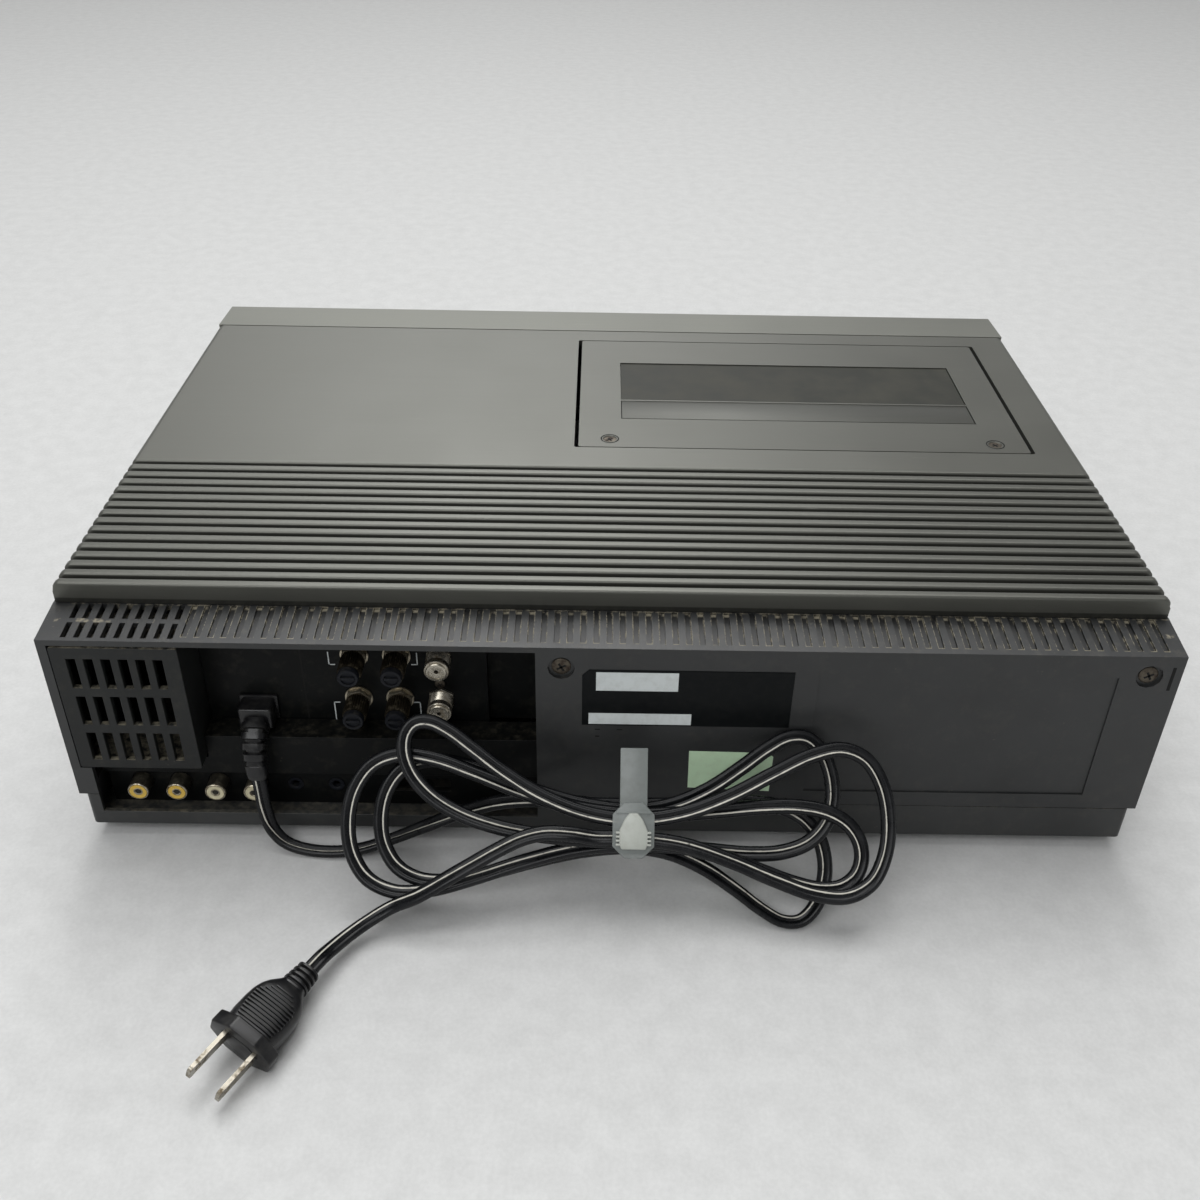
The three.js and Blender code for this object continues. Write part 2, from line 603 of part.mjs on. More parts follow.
function antennaTerminal(x, z) {
  const start = antennaFace - antenna.thickness;
  const seat = antennaFace + fit.seat;
  const collarEnd = seat + terminal.collar;
  const bodyEnd = collarEnd + terminal.body;
  const stud = rod('y', terminal.studRadius, [start, seat + terminal.collar / 2], [x, z], facets.small);
  const collar = rod('y', terminal.collarRadius, [seat, collarEnd], [x, z], 6);
  const head = turnedPiece([
    [0, collarEnd - terminal.collar / 2], [terminal.bodyRadius, collarEnd - terminal.collar / 2],
    [terminal.bodyRadius, bodyEnd], [terminal.neckRadius, bodyEnd], [terminal.neckRadius, bodyEnd + terminal.neck],
    [terminal.endRadius, bodyEnd + terminal.neck], [terminal.endRadius, bodyEnd + terminal.end],
    [0, bodyEnd + terminal.end],
  ], 'y', [x, z], facets.round);
  return join(stud, collar, head);
}

function jackPanel() {
  const left = bayEdge + fit.seat;
  const upperRight = bayRight - grille.width - fit.seat;
  const back = antennaFace + fit.seat;
  const bottom = trayFloor + fit.seat;
  const section = (top) => outline([
    [back, top], [jackFace, top], [jackFace, jacks.faceBottom], [jackLower - jacks.wall, jacks.faceBottom],
    [jackLower - jacks.wall, jacks.faceBottom + jacks.wall], [jackFace - jacks.wall, jacks.faceBottom + jacks.wall],
    [jackFace - jacks.wall, top - jacks.wall], [back, top - jacks.wall],
  ].reverse());
  const front = block(
    [left, jackEnd], [jackLower - jacks.wall, jackLower], [bottom, jacks.faceBottom + jacks.wall / 2]);
  const body = join(
    slab(section(jacks.ledge), 'x', [left, upperRight]),
    slab(section(jacks.seamZ), 'x', [upperRight - cabinet.wall, jackEnd]), front);
  const through = [jackLower - jacks.wall - fit.overrun, jackLower + fit.overrun];
  const holes = [];
  for (let i = 0; i < jacks.count; i += 1) {
    holes.push(rod('y', jacks.radius + fit.seat, through, [firstJack - i * jacks.pitch, jacks.z]));
  }
  for (const inset of jacks.miniFromSide) {
    holes.push(rod('y', jacks.miniRadius, through, [halfX - inset, jacks.miniZ], facets.small));
  }
  holes.push(block(
    around(halfX - jacks.slotFromSide, jacks.slotWidth), through, around(jacks.miniZ, jacks.slotHeight)));
  return cut(body, ...holes);
}

function phonoJacks() {
  const last = firstJack - (jacks.count - 1) * jacks.pitch;
  const back = jackLower - jacks.wall - fit.seat;
  const end = jackLower + jacks.reach;
  const base = block(
    [last - jacks.blockMargin, firstJack + jacks.blockMargin], [back - jacks.blockDepth, back],
    around(jacks.z, 2 * jacks.blockRise));
  const barrels = [];
  for (let i = 0; i < jacks.count; i += 1) {
    const rim = jacks.radius - jacks.rim;
    barrels.push(turnedPiece([
      [0, back - jacks.blockDepth / 2], [jacks.radius, back - jacks.blockDepth / 2], [jacks.radius, end - jacks.rim],
      [rim, end], [jacks.bore, end], [jacks.bore, end - jacks.boreDepth], [0, end - jacks.boreDepth],
    ], 'y', [firstJack - i * jacks.pitch, jacks.z], facets.round));
  }
  return join(base, ...barrels);
}

// Front

function frontBezel() {
  const half = coverHalf;
  const rear = seamY - cover.seam / 2;
  const lipFront = frontY + bezel.slopeRun;
  const wall = bezel.wall;
  const rearBottom = frontY + bezel.flange;
  const shellSection = outline([
    [rear, cabinet.height], [lipFront, lipZ], [frontY, slopeZ], [frontY, bezel.bottom], [rearBottom, bezel.bottom],
    [rearBottom, bezel.bottom + wall], [frontY + wall, bezel.bottom + wall], [frontY + wall, slopeZ - wall / 2],
    [lipFront + wall / 2, lipZ - wall], [rear, coverUnder],
  ]);
  const cheekSection = outline([
    [rear, cabinet.height], [lipFront, lipZ], [frontY, slopeZ], [frontY, bezel.bottom], [rearBottom, bezel.bottom],
    [rearBottom, skirtBottom], [rear, skirtBottom],
  ]);
  const shell = join(
    slab(shellSection, 'x', [-half, half]), slab(cheekSection, 'x', [half - wall, half]),
    slab(cheekSection, 'x', [-half, wall - half]), pocketBox());
  const through = [frontY - fit.overrun, frontY + wall + fit.overrun];
  const buttonHoles = buttons.names.map((name, i) => slab(
    rounded(
      around(buttonX(i), buttonWidth + 2 * fit.running), around(buttons.z, buttons.height + 2 * fit.running),
      buttons.corner),
    'y', [frontY - fit.overrun, frontY + wall + fit.running / 2], 1));
  const paneHole = slab(rounded(pocketX, paneZ, windowPane.corner), 'y', through);
  const doorHole = block(
    pocketX, [frontY - fit.overrun, frontY + wall + pocket.depth], around(pocket.z, pocket.height));
  const shaftHole = rod(
    'y', knob.shaftRadius + fit.running, [frontY, frontY + wall + pocket.depth + fit.overrun], [knobX, pocket.z],
    facets.small);
  const pinHoles = rod('x', door.pin, grown(pocketX, pocket.wall), [doorHinge.y, doorHinge.z], facets.small);
  return cut(shell, paneHole, doorHole, shaftHole, pinHoles, ...buttonHoles);
}

const doorHinge = {
  y: frontY + door.thickness / 2,
  z: pocket.z - pocket.height / 2 + door.hingeUp + fit.seat,
};

function pocketBox() {
  const y = [frontY + bezel.wall / 2, frontY + bezel.wall + pocket.depth + pocket.wall];
  return block(grown(pocketX, pocket.wall), y, around(pocket.z, pocket.height + 2 * pocket.wall));
}

const buttonPitch = (halfX - buttons.fromSide + buttons.pastMiddle) / (buttons.names.length - 1);
const buttonWidth = buttonPitch - buttons.between;

function buttonX(i) {
  return buttons.fromSide - halfX + i * buttonPitch;
}

function pushButton(i) {
  const x = buttonX(i);
  const flangeFront = frontY + bezel.wall + fit.running;
  const cap = slab(
    rounded(around(x, buttonWidth), around(buttons.z, buttons.height), buttons.corner), 'y',
    [frontY, flangeFront + buttons.flange / 2], 1);
  const flange = block(
    around(x, buttonWidth + 2 * buttons.lip), [flangeFront, flangeFront + buttons.flange],
    around(buttons.z, buttons.height + 2 * buttons.lip));
  const stem = rod(
    'y', buttons.stemRadius, [flangeFront + buttons.flange / 2, flangeFront + buttons.flange + buttons.stem],
    [x, buttons.z], facets.small);
  return join(cap, flange, stem);
}

function displayPane() {
  return slab(
    rounded(grown(pocketX, -fit.seat), grown(paneZ, -fit.seat), windowPane.corner), 'y',
    [frontY, frontY + windowPane.thickness]);
}

function controlDoor() {
  const x = grown(pocketX, -fit.running);
  const z = [doorHinge.z - door.hingeUp, pocketTop - fit.running];
  const leaf = slab(rounded([frontY, frontY + door.thickness], z, door.hingeRadius), 'x', x, 3);
  const pins = rod(
    'x', door.pin - fit.running, grown(pocketX, pocket.wall / 2), [doorHinge.y, doorHinge.z], facets.small);
  const grip = block(
    around((x[0] + x[1]) / 2, door.gripWidth), [frontY - fit.overrun, frontY + door.thickness / 2],
    [z[1] - door.grip, z[1] + fit.overrun]);
  return cut(join(leaf, pins), grip);
}

function trackingKnob() {
  const back = frontY + bezel.wall + pocket.depth;
  const end = back - fit.running;
  const at = [knobX, pocket.z];
  const body = rod('y', knob.radius, [end - knob.length, end], at, facets.fine);
  const shaft = rod('y', knob.shaftRadius, [end - knob.length / 2, end + knob.shaftLength], at, facets.small);
  const grooves = [];
  for (let i = 0; i < knob.grooves; i += 1) {
    const turn = (2 * Math.PI * i) / knob.grooves;
    const place = [at[0] + knob.radius * Math.cos(turn), at[1] + knob.radius * Math.sin(turn)];
    grooves.push(rod('y', knob.grooveRadius, [end - knob.length - fit.overrun, end + fit.seat], place, 6));
  }
  return cut(join(body, shaft), ...grooves);
}

// Cassette lid, holder and its lift

const postX = cassette.width / 2 - holder.postIn;
const screwPlaces = [[postX, holder.postRear], [-postX, holder.postRear]];
const postPlaces = [...screwPlaces, [postX, holder.postFront], [-postX, holder.postFront]];
const paneX = [lid.paneIn[0] - lidHalf, lidHalf - lid.paneIn[1]];

function cassetteLid() {
  const z = [coverUnder, cabinet.height];
  const plate = slab(rounded([-lidHalf, lidHalf], [lid.front, lid.rear], lid.corner), 'z', z);
  const { paneY, paneLedge } = lid;
  const well = block(
    paneX, paneY, [z[1] - lid.paneSink - lid.paneThickness - fit.seat, z[1] + fit.overrun]);
  const through = block(
    grown(paneX, -paneLedge), grown(paneY, -paneLedge), [z[0] - fit.overrun, z[1]]);
  const stripWell = block(
    paneX, [paneY[1] + lid.stripLip, lid.stripRear], [z[1] - lid.stripSink, z[1] + fit.overrun]);
  const sinks = screwPlaces.map((at) => turnedPiece([
    [0, z[0] - fit.overrun], [lid.screwRadius, z[0] - fit.overrun],
    [lid.screwRadius, z[1] - lid.screwHead + lid.screwRadius], [lid.screwHead, z[1]],
    [lid.screwHead, z[1] + fit.overrun], [0, z[1] + fit.overrun],
  ], 'z', at, facets.round));
  return cut(plate, well, through, stripWell, ...sinks);
}

function lidPane() {
  const top = cabinet.height - lid.paneSink;
  return block(grown(paneX, -fit.seat), grown(lid.paneY, -fit.seat), [top - lid.paneThickness, top]);
}

function sideSpan(side, from, to) {
  return [side * from, side * to].sort((a, b) => a - b);
}

function cassetteHolder() {
  const lipTop = cassetteUnder - holder.lipClearance;
  const lipBottom = lipTop - holder.wall;
  const roofTop = holderRoof + holder.wall;
  const section = [
    [-holderOuter, lipBottom], [holder.lip - holderInner, lipBottom], [holder.lip - holderInner, lipTop],
    [-holderInner, lipTop], [-holderInner, holderRoof], [holderInner, holderRoof], [holderInner, lipTop],
    [holderInner - holder.lip, lipTop], [holderInner - holder.lip, lipBottom], [holderOuter, lipBottom],
    [holderOuter, roofTop], [-holderOuter, roofTop],
  ];
  const rear = cassette.front + cassette.depth - holder.rearMargin;
  const channel = slab(outline(section), 'y', [cassette.front - holder.frontMargin, rear]);
  const tabs = screwPlaces.map(([x, y]) => block(
    around(x, holder.tabWidth), [rear - holder.wall, y + holder.postRadius], [holderRoof, roofTop]));
  const posts = postPlaces.map((at) => rod(
    'z', holder.postRadius, [holderRoof, coverUnder - fit.seat], at, facets.small));
  const boltHoles = screwPlaces.map((at) => rod(
    'z', holder.boltRadius, [roofTop + holder.wall, coverUnder + fit.overrun], at, facets.small));
  const pins = [-1, 1].flatMap((side) => [lift.front, lift.rear].map(({ y, up }) => rod(
    'x', lift.pinRadius, sideSpan(side, holderOuter - holder.wall / 2, armOuter + lift.pinEnd),
    [y - lift.length, deckTop + up], facets.small)));
  const viewHole = block(
    around(0, cassette.width - 2 * holder.windowIn), holder.windowY,
    [holderRoof - fit.overrun, roofTop + fit.overrun]);
  return cut(join(channel, ...tabs, ...posts, ...pins), viewHole, ...boltHoles);
}

function liftArm(side, pivot) {
  const from = pivot.y;
  const to = pivot.y - lift.length;
  const z = deckTop + pivot.up;
  const r = lift.width / 2;
  const shape = new THREE.Shape();
  shape.absarc(from, z, r, -Math.PI / 2, Math.PI / 2);
  shape.absarc(to, z, r, Math.PI / 2, Math.PI * 1.5);
  shape.holes.push(...[from, to].map((y) => ringHole(y, z, lift.pinRadius + fit.seat)));
  return slab(shape, 'x', sideSpan(side, armInner, armOuter), facets.arc);
}

// Tape deck

function deckChassis() {
  const z = [deckUnder, deckTop];
  const plateOutline = rounded(deckX, deck.y, deck.corner);
  for (const side of [-1, 1]) {
    plateOutline.holes.push(ringHole(side * reel.x, reel.y, reel.shaftRadius + fit.running));
  }
  for (const path of [guide.supply, guide.takeup]) {
    plateOutline.holes.push(slotHole(path.from, path.to, guide.slot / 2));
  }
  const plate = slab(plateOutline, 'z', z, facets.arc);
  const flange = block(
    grown(deckX, -deck.corner), [deck.y[1] - deck.thickness, deck.y[1]], [deckUnder - deck.flange, z[1]]);
  const boss = rod('z', capstan.bossRadius, [z[0], z[1] + capstan.boss], [capstanX, capstan.y]);
  const post = rod('z', pinch.postRadius, [z[0], z[1] + pinch.post], [pinchX, pinch.y], facets.small);
  const shoulder = rod(
    'z', pinch.hubRadius, [z[0], z[1] + pinch.armUp - fit.running], [pinchX, pinch.y], facets.round);
  const bearing = rod(
    'z', capstan.shaftRadius + fit.running, [z[0] - fit.overrun, z[1] + capstan.boss + fit.overrun],
    [capstanX, capstan.y], facets.small);
  return cut(join(plate, flange, boss, post, shoulder, liftEar(-1), liftEar(1)), bearing);
}

function liftEar(side) {
  const r = lift.earMargin;
  const { front, rear } = lift;
  const frontZ = deckTop + front.up;
  const rearZ = deckTop + rear.up;
  const shape = new THREE.Shape();
  shape.moveTo(front.y - r, deckUnder);
  shape.lineTo(rear.y + r, deckUnder);
  shape.lineTo(rear.y + r, rearZ);
  shape.absarc(rear.y, rearZ, r, 0, lift.earRound * radian);
  shape.lineTo(front.y - r * Math.cos(lift.earSlope * radian), frontZ + r);
  shape.lineTo(front.y - r, frontZ + r / 2);
  const plate = slab(shape, 'x', sideSpan(side, earInner, earInner + lift.ear), 4);
  const pins = [[front.y, frontZ], [rear.y, rearZ]].map((at) => rod(
    'x', lift.pinRadius, sideSpan(side, armInner - lift.pinEnd, earInner + lift.ear / 2), at, facets.small));
  return join(plate, ...pins);
}

function ringHole(x, y, radius) {
  const hole = new THREE.Path();
  hole.absarc(x, y, radius, 0, 2 * Math.PI, true);
  return hole;
}

function slotHole(from, to, radius) {
  const heading = Math.atan2(to[1] - from[1], to[0] - from[0]);
  const hole = new THREE.Path();
  hole.absarc(to[0], to[1], radius, heading - Math.PI / 2, heading + Math.PI / 2);
  hole.absarc(from[0], from[1], radius, heading + Math.PI / 2, heading + Math.PI * 1.5);
  return hole;
}

function tapeReel(side) {
  const at = [side * reel.x, reel.y];
  const table = deckTop + reel.tableUp;
  const hubTop = table + reel.table + reel.hub;
  const tipStart = hubTop + reel.spindle;
  const body = turnedPiece([
    [0, deckUnder - reel.below], [reel.shaftRadius, deckUnder - reel.below], [reel.shaftRadius, deckTop + fit.running],
    [reel.hubRadius, deckTop + fit.running], [reel.hubRadius, table], [reel.tableRadius, table],
    [reel.tableRadius, table + reel.table], [reel.hubRadius, table + reel.table], [reel.hubRadius, hubTop],
    [reel.spindleRadius, hubTop], [reel.spindleRadius, tipStart], [reel.tipRadius, tipStart + reel.tip],
    [0, tipStart + reel.tip],
  ], 'z', at, facets.fine);
  const fins = [0, 1, 2].map((i) => block(
    [0, reel.finReach], around(0, reel.finWidth), [hubTop - reel.hub / 2, tipStart],
  ).rotateZ((2 * Math.PI * i) / 3).translate(at[0], at[1], 0));
  return join(body, ...fins);
}

function onDrumAxis(geometry) {
  return geometry.rotateX(drum.tilt * radian).translate(drum.x, drum.y, deckTop);
}

function lowerDrum() {
  const sunk = drum.radius * Math.tan(drum.tilt * radian) + deck.thickness;
  const body = turnedPiece([
    [0, -sunk], [drum.radius, -sunk], [drum.radius, drum.split - drum.reliefHeight],
    [drum.radius - drum.relief, drum.split - drum.reliefHeight], [drum.radius - drum.relief, drum.split],
    [drum.shaftRadius, drum.split], [drum.shaftRadius, drum.top - drum.rimHeight], [0, drum.top - drum.rimHeight],
  ], 'z', [0, 0], facets.fine);
  const wide = 2 * drum.radius;
  const below = block(
    around(drum.x, 2 * wide), around(drum.y, 2 * wide), [deckTop - sunk - wide, deckTop + fit.seat]);
  return cut(onDrumAxis(body), below);
}

function upperDrum() {
  const bore = drum.shaftRadius + fit.running;
  const start = drum.split + fit.running;
  const geometry = turnedPiece([
    [bore, start], [drum.radius - drum.relief, start], [drum.radius - drum.relief, start + drum.reliefHeight],
    [drum.radius, start + drum.reliefHeight], [drum.radius, drum.top - drum.rimHeight],
    [drum.rimRadius, drum.top - drum.rimHeight], [drum.rimRadius, drum.top], [bore, drum.top], [bore, start],
  ], 'z', [0, 0], facets.fine);
  return onDrumAxis(geometry);
}

function capstanWheel() {
  const { shaftRadius, wheelRadius, wheel, rim, webDrop } = capstan;
  const wheelTop = deckTop - capstan.wheelDrop;
  const top = deckTop + capstan.height;
  return turnedPiece([
    [0, wheelTop - wheel], [wheelRadius, wheelTop - wheel], [wheelRadius, wheelTop], [wheelRadius - rim, wheelTop],
    [wheelRadius - rim, wheelTop - webDrop], [2 * rim, wheelTop - webDrop], [2 * rim, wheelTop],
    [rim, deckUnder - fit.running], [shaftRadius, deckUnder - fit.running], [shaftRadius, top], [0, top],
  ], 'z', [capstanX, capstan.y], facets.fine);
}

const rollerPlace = [
  pinchX + pinch.reach * Math.cos(pinch.angle * radian), pinch.y + pinch.reach * Math.sin(pinch.angle * radian),
];

function pinchArm() {
  const z = [deckTop + pinch.armUp, deckTop + pinch.armUp + pinch.arm];
  const heading = pinch.angle * radian;
  const shape = new THREE.Shape();
  shape.absarc(rollerPlace[0], rollerPlace[1], pinch.armWidth / 2, heading - Math.PI / 2, heading + Math.PI / 2);
  shape.absarc(pinchX, pinch.y, pinch.hubRadius, heading + Math.PI / 2, heading + Math.PI * 1.5);
  shape.holes.push(ringHole(pinchX, pinch.y, pinch.postRadius + fit.running));
  const plate = slab(shape, 'z', z, facets.arc);
  const rollerFoot = deckTop + pinch.rollerUp;
  const pinTop = rollerFoot + pinch.roller + pinch.pinAbove;
  const step = rod('z', 2 * pinch.pinRadius, [z[0], rollerFoot - fit.running], rollerPlace, facets.small);
  const pin = rod('z', pinch.pinRadius, [z[0], pinTop], rollerPlace, facets.small);
  return join(plate, step, pin);
}

function pinchRoller() {
  const shape = new THREE.Shape();
  shape.absarc(rollerPlace[0], rollerPlace[1], pinch.rollerRadius, 0, 2 * Math.PI);
  shape.holes.push(ringHole(rollerPlace[0], rollerPlace[1], pinch.pinRadius + fit.running));
  const rollerFoot = deckTop + pinch.rollerUp;
  return slab(shape, 'z', [rollerFoot, rollerFoot + pinch.roller], facets.small);
}

function tapeGuide(path) {
  const heading = Math.atan2(path.to[1] - path.from[1], path.to[0] - path.from[0]);
  const foot = deckTop + fit.running;
  const baseTop = foot + guide.base;
  const rollerTop = deckTop + guide.rollerFrom + guide.roller;
  const base = block(around(0, guide.baseLength), around(0, guide.baseWidth), [foot, baseTop]);
  const turnedParts = turnedPiece([
    [0, deckUnder - guide.stub], [guide.stubRadius, deckUnder - guide.stub], [guide.stubRadius, baseTop],
    [guide.postRadius, baseTop], [guide.postRadius, deckTop + guide.rollerFrom],
    [guide.rollerRadius, deckTop + guide.rollerFrom], [guide.rollerRadius, rollerTop],
    [guide.flangeRadius, rollerTop], [guide.flangeRadius, rollerTop + guide.flange], [0, rollerTop + guide.flange],
  ], 'z', [0, 0], facets.round);
  const [x, y] = path.from;
  return join(...[base, turnedParts].map((piece) => piece.rotateZ(heading).translate(x, y, 0)));
}

function tapeHead(head, x) {
  const z = [deckTop + fit.seat, deckTop + fit.seat + head.height];
  const body = block(around(x, head.width), around(head.y, head.depth), z);
  const nose = rod('z', head.noseRadius, [z[0] + head.foot, z[1] - head.foot], [x, head.y - head.depth / 2]);
  const flange = block(
    around(x, head.width + 2 * head.foot), around(head.y, head.depth), [z[0], z[0] + head.foot / 2]);
  return join(body, nose, flange);
}

function loadingMotor() {
  const x = motor.fromCapstan.map((apart) => capstanX + apart);
  const z = deckTop + fit.seat + motor.saddle + motor.radius;
  const can = rod('x', motor.radius, x, [motor.y, z], facets.round);
  const shaft = rod(
    'x', motor.shaftRadius, [x[0] - motor.shaft, x[0] + motor.shaft], [motor.y, z], facets.small);
  const wormEnd = x[0] - motor.shaft / 3;
  const worm = rod('x', motor.wormRadius, [wormEnd - motor.worm, wormEnd], [motor.y, z], facets.small);
  const saddle = block(x, around(motor.y, motor.radius), [deckTop + fit.seat, z]);
  return join(can, shaft, worm, saddle);
}

// Electronics

function mainBoard() {
  const top = board.z + board.thickness;
  const under = board.z + board.thickness / 2;
  const fromEdge = (span) => span.map((inset) => boardX[0] + inset);
  const plate = block(boardX, boardY, [board.z, top]);
  const chip = block(
    fromEdge(board.chipX), around(board.chipY, board.chipDepth), [under, top + board.chipHeight]);
  const shield = block(fromEdge(board.shieldX), board.shieldY, [under, top + board.shieldHeight]);
  const cans = board.canY.map((y) => rod(
    'z', board.canRadius, [under, top + board.canHeight], [boardX[0] + board.canX, y]));
  return join(plate, chip, shield, ...cans);
}

function powerTransformer() {
  const { y, coreWidth, coreDepth, coreHeight, coilWidth, coilDepth, coilHeight, legHeight } = transformer;
  const x = halfX - transformer.fromSide;
  const base = trayFloor + fit.seat;
  const middle = base + legHeight + coilHeight / 2;
  const core = block(around(x, coreWidth), around(y, coreDepth), around(middle, coreHeight));
  const coil = slab(
    rounded(around(x, coilWidth), around(middle, coilHeight), legHeight / 2), 'y', around(y, coilDepth));
  const legs = [-1, 1].map((side) => block(
    around(x + side * (coreWidth / 2 - legHeight / 4), legHeight / 2), around(y, coreDepth), [base, middle]));
  return join(core, coil, ...legs);
}

function tunerBox() {
  const rear = antennaFace - antenna.thickness - fit.seat;
  const x = tuner.pastAerial.map((apart) => aerialX + apart);
  const y = [rear - tuner.depth, rear];
  const top = aerialZ[0] + tuner.above;
  const can = block(x, y, [aerialZ[1] - tuner.below, top]);
  const ribs = [];
  for (let i = 0; i < tuner.ribCount; i += 1) {
    const middle = x[0] + ((i + 1) * (x[1] - x[0])) / (tuner.ribCount + 1);
    ribs.push(block(around(middle, 2 * tuner.rib), y, around(top, 2 * tuner.rib)));
  }
  const barrels = aerialZ.map((z) => turnedPiece([
    [0, rear - tuner.rib], [aerial.radius, rear - tuner.rib], [aerial.radius, antennaFace + fit.seat],
    [aerial.collarRadius, antennaFace + fit.seat], [aerial.collarRadius, antennaFace + fit.seat + aerial.collar],
    [aerial.radius, antennaFace + fit.seat + aerial.collar], [aerial.radius, antennaFace + aerial.length],
    [aerial.bore, antennaFace + aerial.length], [aerial.bore, antennaFace + aerial.collar],
    [0, antennaFace + aerial.collar],
  ], 'y', [aerialX, z], facets.round));
  return join(can, ...ribs, ...barrels);
}

// Mains cord

function flatSection(width, thickness) {
  const points = [];
  const bend = width / 2 - thickness / 2;
  const chamfer = (thickness / 2) * Math.SQRT1_2;
  for (const [sx, sy] of [[1, 1], [-1, 1], [-1, -1], [1, -1]]) {
    const flat = [sx * bend, (sy * thickness) / 2];
    const round = [sx * (bend + chamfer), sy * chamfer];
    points.push(...(sx * sy > 0 ? [round, flat] : [flat, round]));
  }
  return outline(points);
}

// The flat lead lies flat on the table and turns to the hank's lean as it rises
function lead(points) {
  const path = new THREE.CatmullRomCurve3(points.map((point) => new THREE.Vector3(...point)), false, 'centripetal');
  const steps = Math.round(path.getLength() / cord.step);
  const geometry = new THREE.ExtrudeGeometry(
    flatSection(cord.width, cord.thickness), { steps, bevelEnabled: false, extrudePath: path });
  const { normals, binormals } = path.computeFrenetFrames(steps, false);
  const centres = path.getSpacedPoints(steps);
  const turns = centres.map((centre, i) => {
    const share = ease((centre.z - cord.width) / (hankPlace[2] - cord.width));
    const facing = new THREE.Vector3(0, 0, 1).lerp(hankOut, share);
    return Math.atan2(-facing.dot(normals[i]), facing.dot(binormals[i]));
  });
  const places = geometry.attributes.position;
  const corner = new THREE.Vector3();
  for (let v = 0; v < places.count; v += 1) {
    corner.fromBufferAttribute(places, v);
    const ring = centres.reduce((best, centre, i) => (
      centre.distanceToSquared(corner) < centres[best].distanceToSquared(corner) ? i : best), 0);
    corner.sub(centres[ring]);
    const across = corner.dot(normals[ring]);
    const out = corner.dot(binormals[ring]);
    const cos = Math.cos(turns[ring]);
    const sin = Math.sin(turns[ring]);
    corner.copy(centres[ring]).addScaledVector(normals[ring], across * cos - out * sin)
      .addScaledVector(binormals[ring], across * sin + out * cos);
    places.setXYZ(v, corner.x, corner.y, corner.z);
  }
  return geometry;
}

// From the cabinet's rear left corner to a point of the cord
function fromCorner([x, y, z]) {
  return [halfX + x, rearY + y, z];
}

const hankPlace = fromCorner(hank.place);
const plugPlace = fromCorner(plug.neck);
const hankUp = new THREE.Vector3(0, -Math.sin(hank.lean * radian), Math.cos(hank.lean * radian));
const hankOut = new THREE.Vector3(0, Math.cos(hank.lean * radian), Math.sin(hank.lean * radian));

function hankPoint(along, up, out) {
  const middle = new THREE.Vector3(...hankPlace);
  middle.x += along;
  return middle.addScaledVector(hankUp, up).addScaledVector(hankOut, out);
}

function lane(pass) {
  const spare = pass % 2 === 0 ? (loops.length - 1 - pass) / 2 : (loops.length - pass) / 2;
  return (pass % 2 === 0 ? 1 : -1) * (hank.laneInner + hank.laneStep * spare);
}

function ease(share) {
  const s = Math.min(Math.max(share, 0), 1);
  return s * s * (3 - 2 * s);
}

// Each loop runs out on one lane of the waist and back on the other, half a layer further out
function hankCentreline(steps = hank.steps) {
  const points = [];
  loops.forEach((loop, k) => {
    for (let i = k === 0 ? 0 : 1; i <= steps; i += 1) {
      const t = i / steps;
      const reach = Math.sin(Math.PI * t);
      const mix = (1 - Math.cos(Math.PI * t)) / 2;
      const along = loop.reach * reach;
      const circulation = k % 2 === 0 ? 1 : -1;
      const across = circulation * loop.half * hank.widest * Math.sin(2 * Math.PI * t) * reach;
      const tilt = loop.tilt * radian * reach;
      const up = lane(k) * (1 - mix) + lane(k + 1) * mix + along * Math.sin(tilt) + across * Math.cos(tilt);
      const climb = ease((1 - t) / hank.climbShare) - ease(t / hank.climbShare);
      const out = (k * hank.layer) / 2 - (hank.layer / 4) * climb;
      points.push(hankPoint(loop.side * (along * Math.cos(tilt) - across * Math.sin(tilt)), up, out));
    }
  });
  points.unshift(points[0].clone().add(new THREE.Vector3(hank.end, 0, 0)));
  points.push(points[points.length - 1].clone().add(new THREE.Vector3(hank.end, 0, 0)));
  return points;
}

function sideways(points, i) {
  const before = points[Math.max(i - 1, 0)];
  const after = points[Math.min(i + 1, points.length - 1)];
  return new THREE.Vector3().subVectors(after, before).cross(hankOut).normalize();
}

function leastGap(points) {
  const halfSpan = (cord.width - cord.thickness) / 2;
  const run = [0];
  for (let i = 1; i < points.length; i += 1) {
    run.push(run[i - 1] + points[i].distanceTo(points[i - 1]));
  }
  const cores = [-1, 1].map((sign) => points.map(
    (point, i) => point.clone().addScaledVector(sideways(points, i), sign * halfSpan)));
  let least = Infinity;
  for (const one of cores) {
    for (const other of cores) {
      for (let i = 0; i < points.length; i += 1) {
        for (let j = i + 1; j < points.length; j += 1) {
          if (run[j] - run[i] > 2 * cord.width) {
            least = Math.min(least, one[i].distanceTo(other[j]));
          }
        }
      }
    }
  }
  return least - cord.thickness;
}

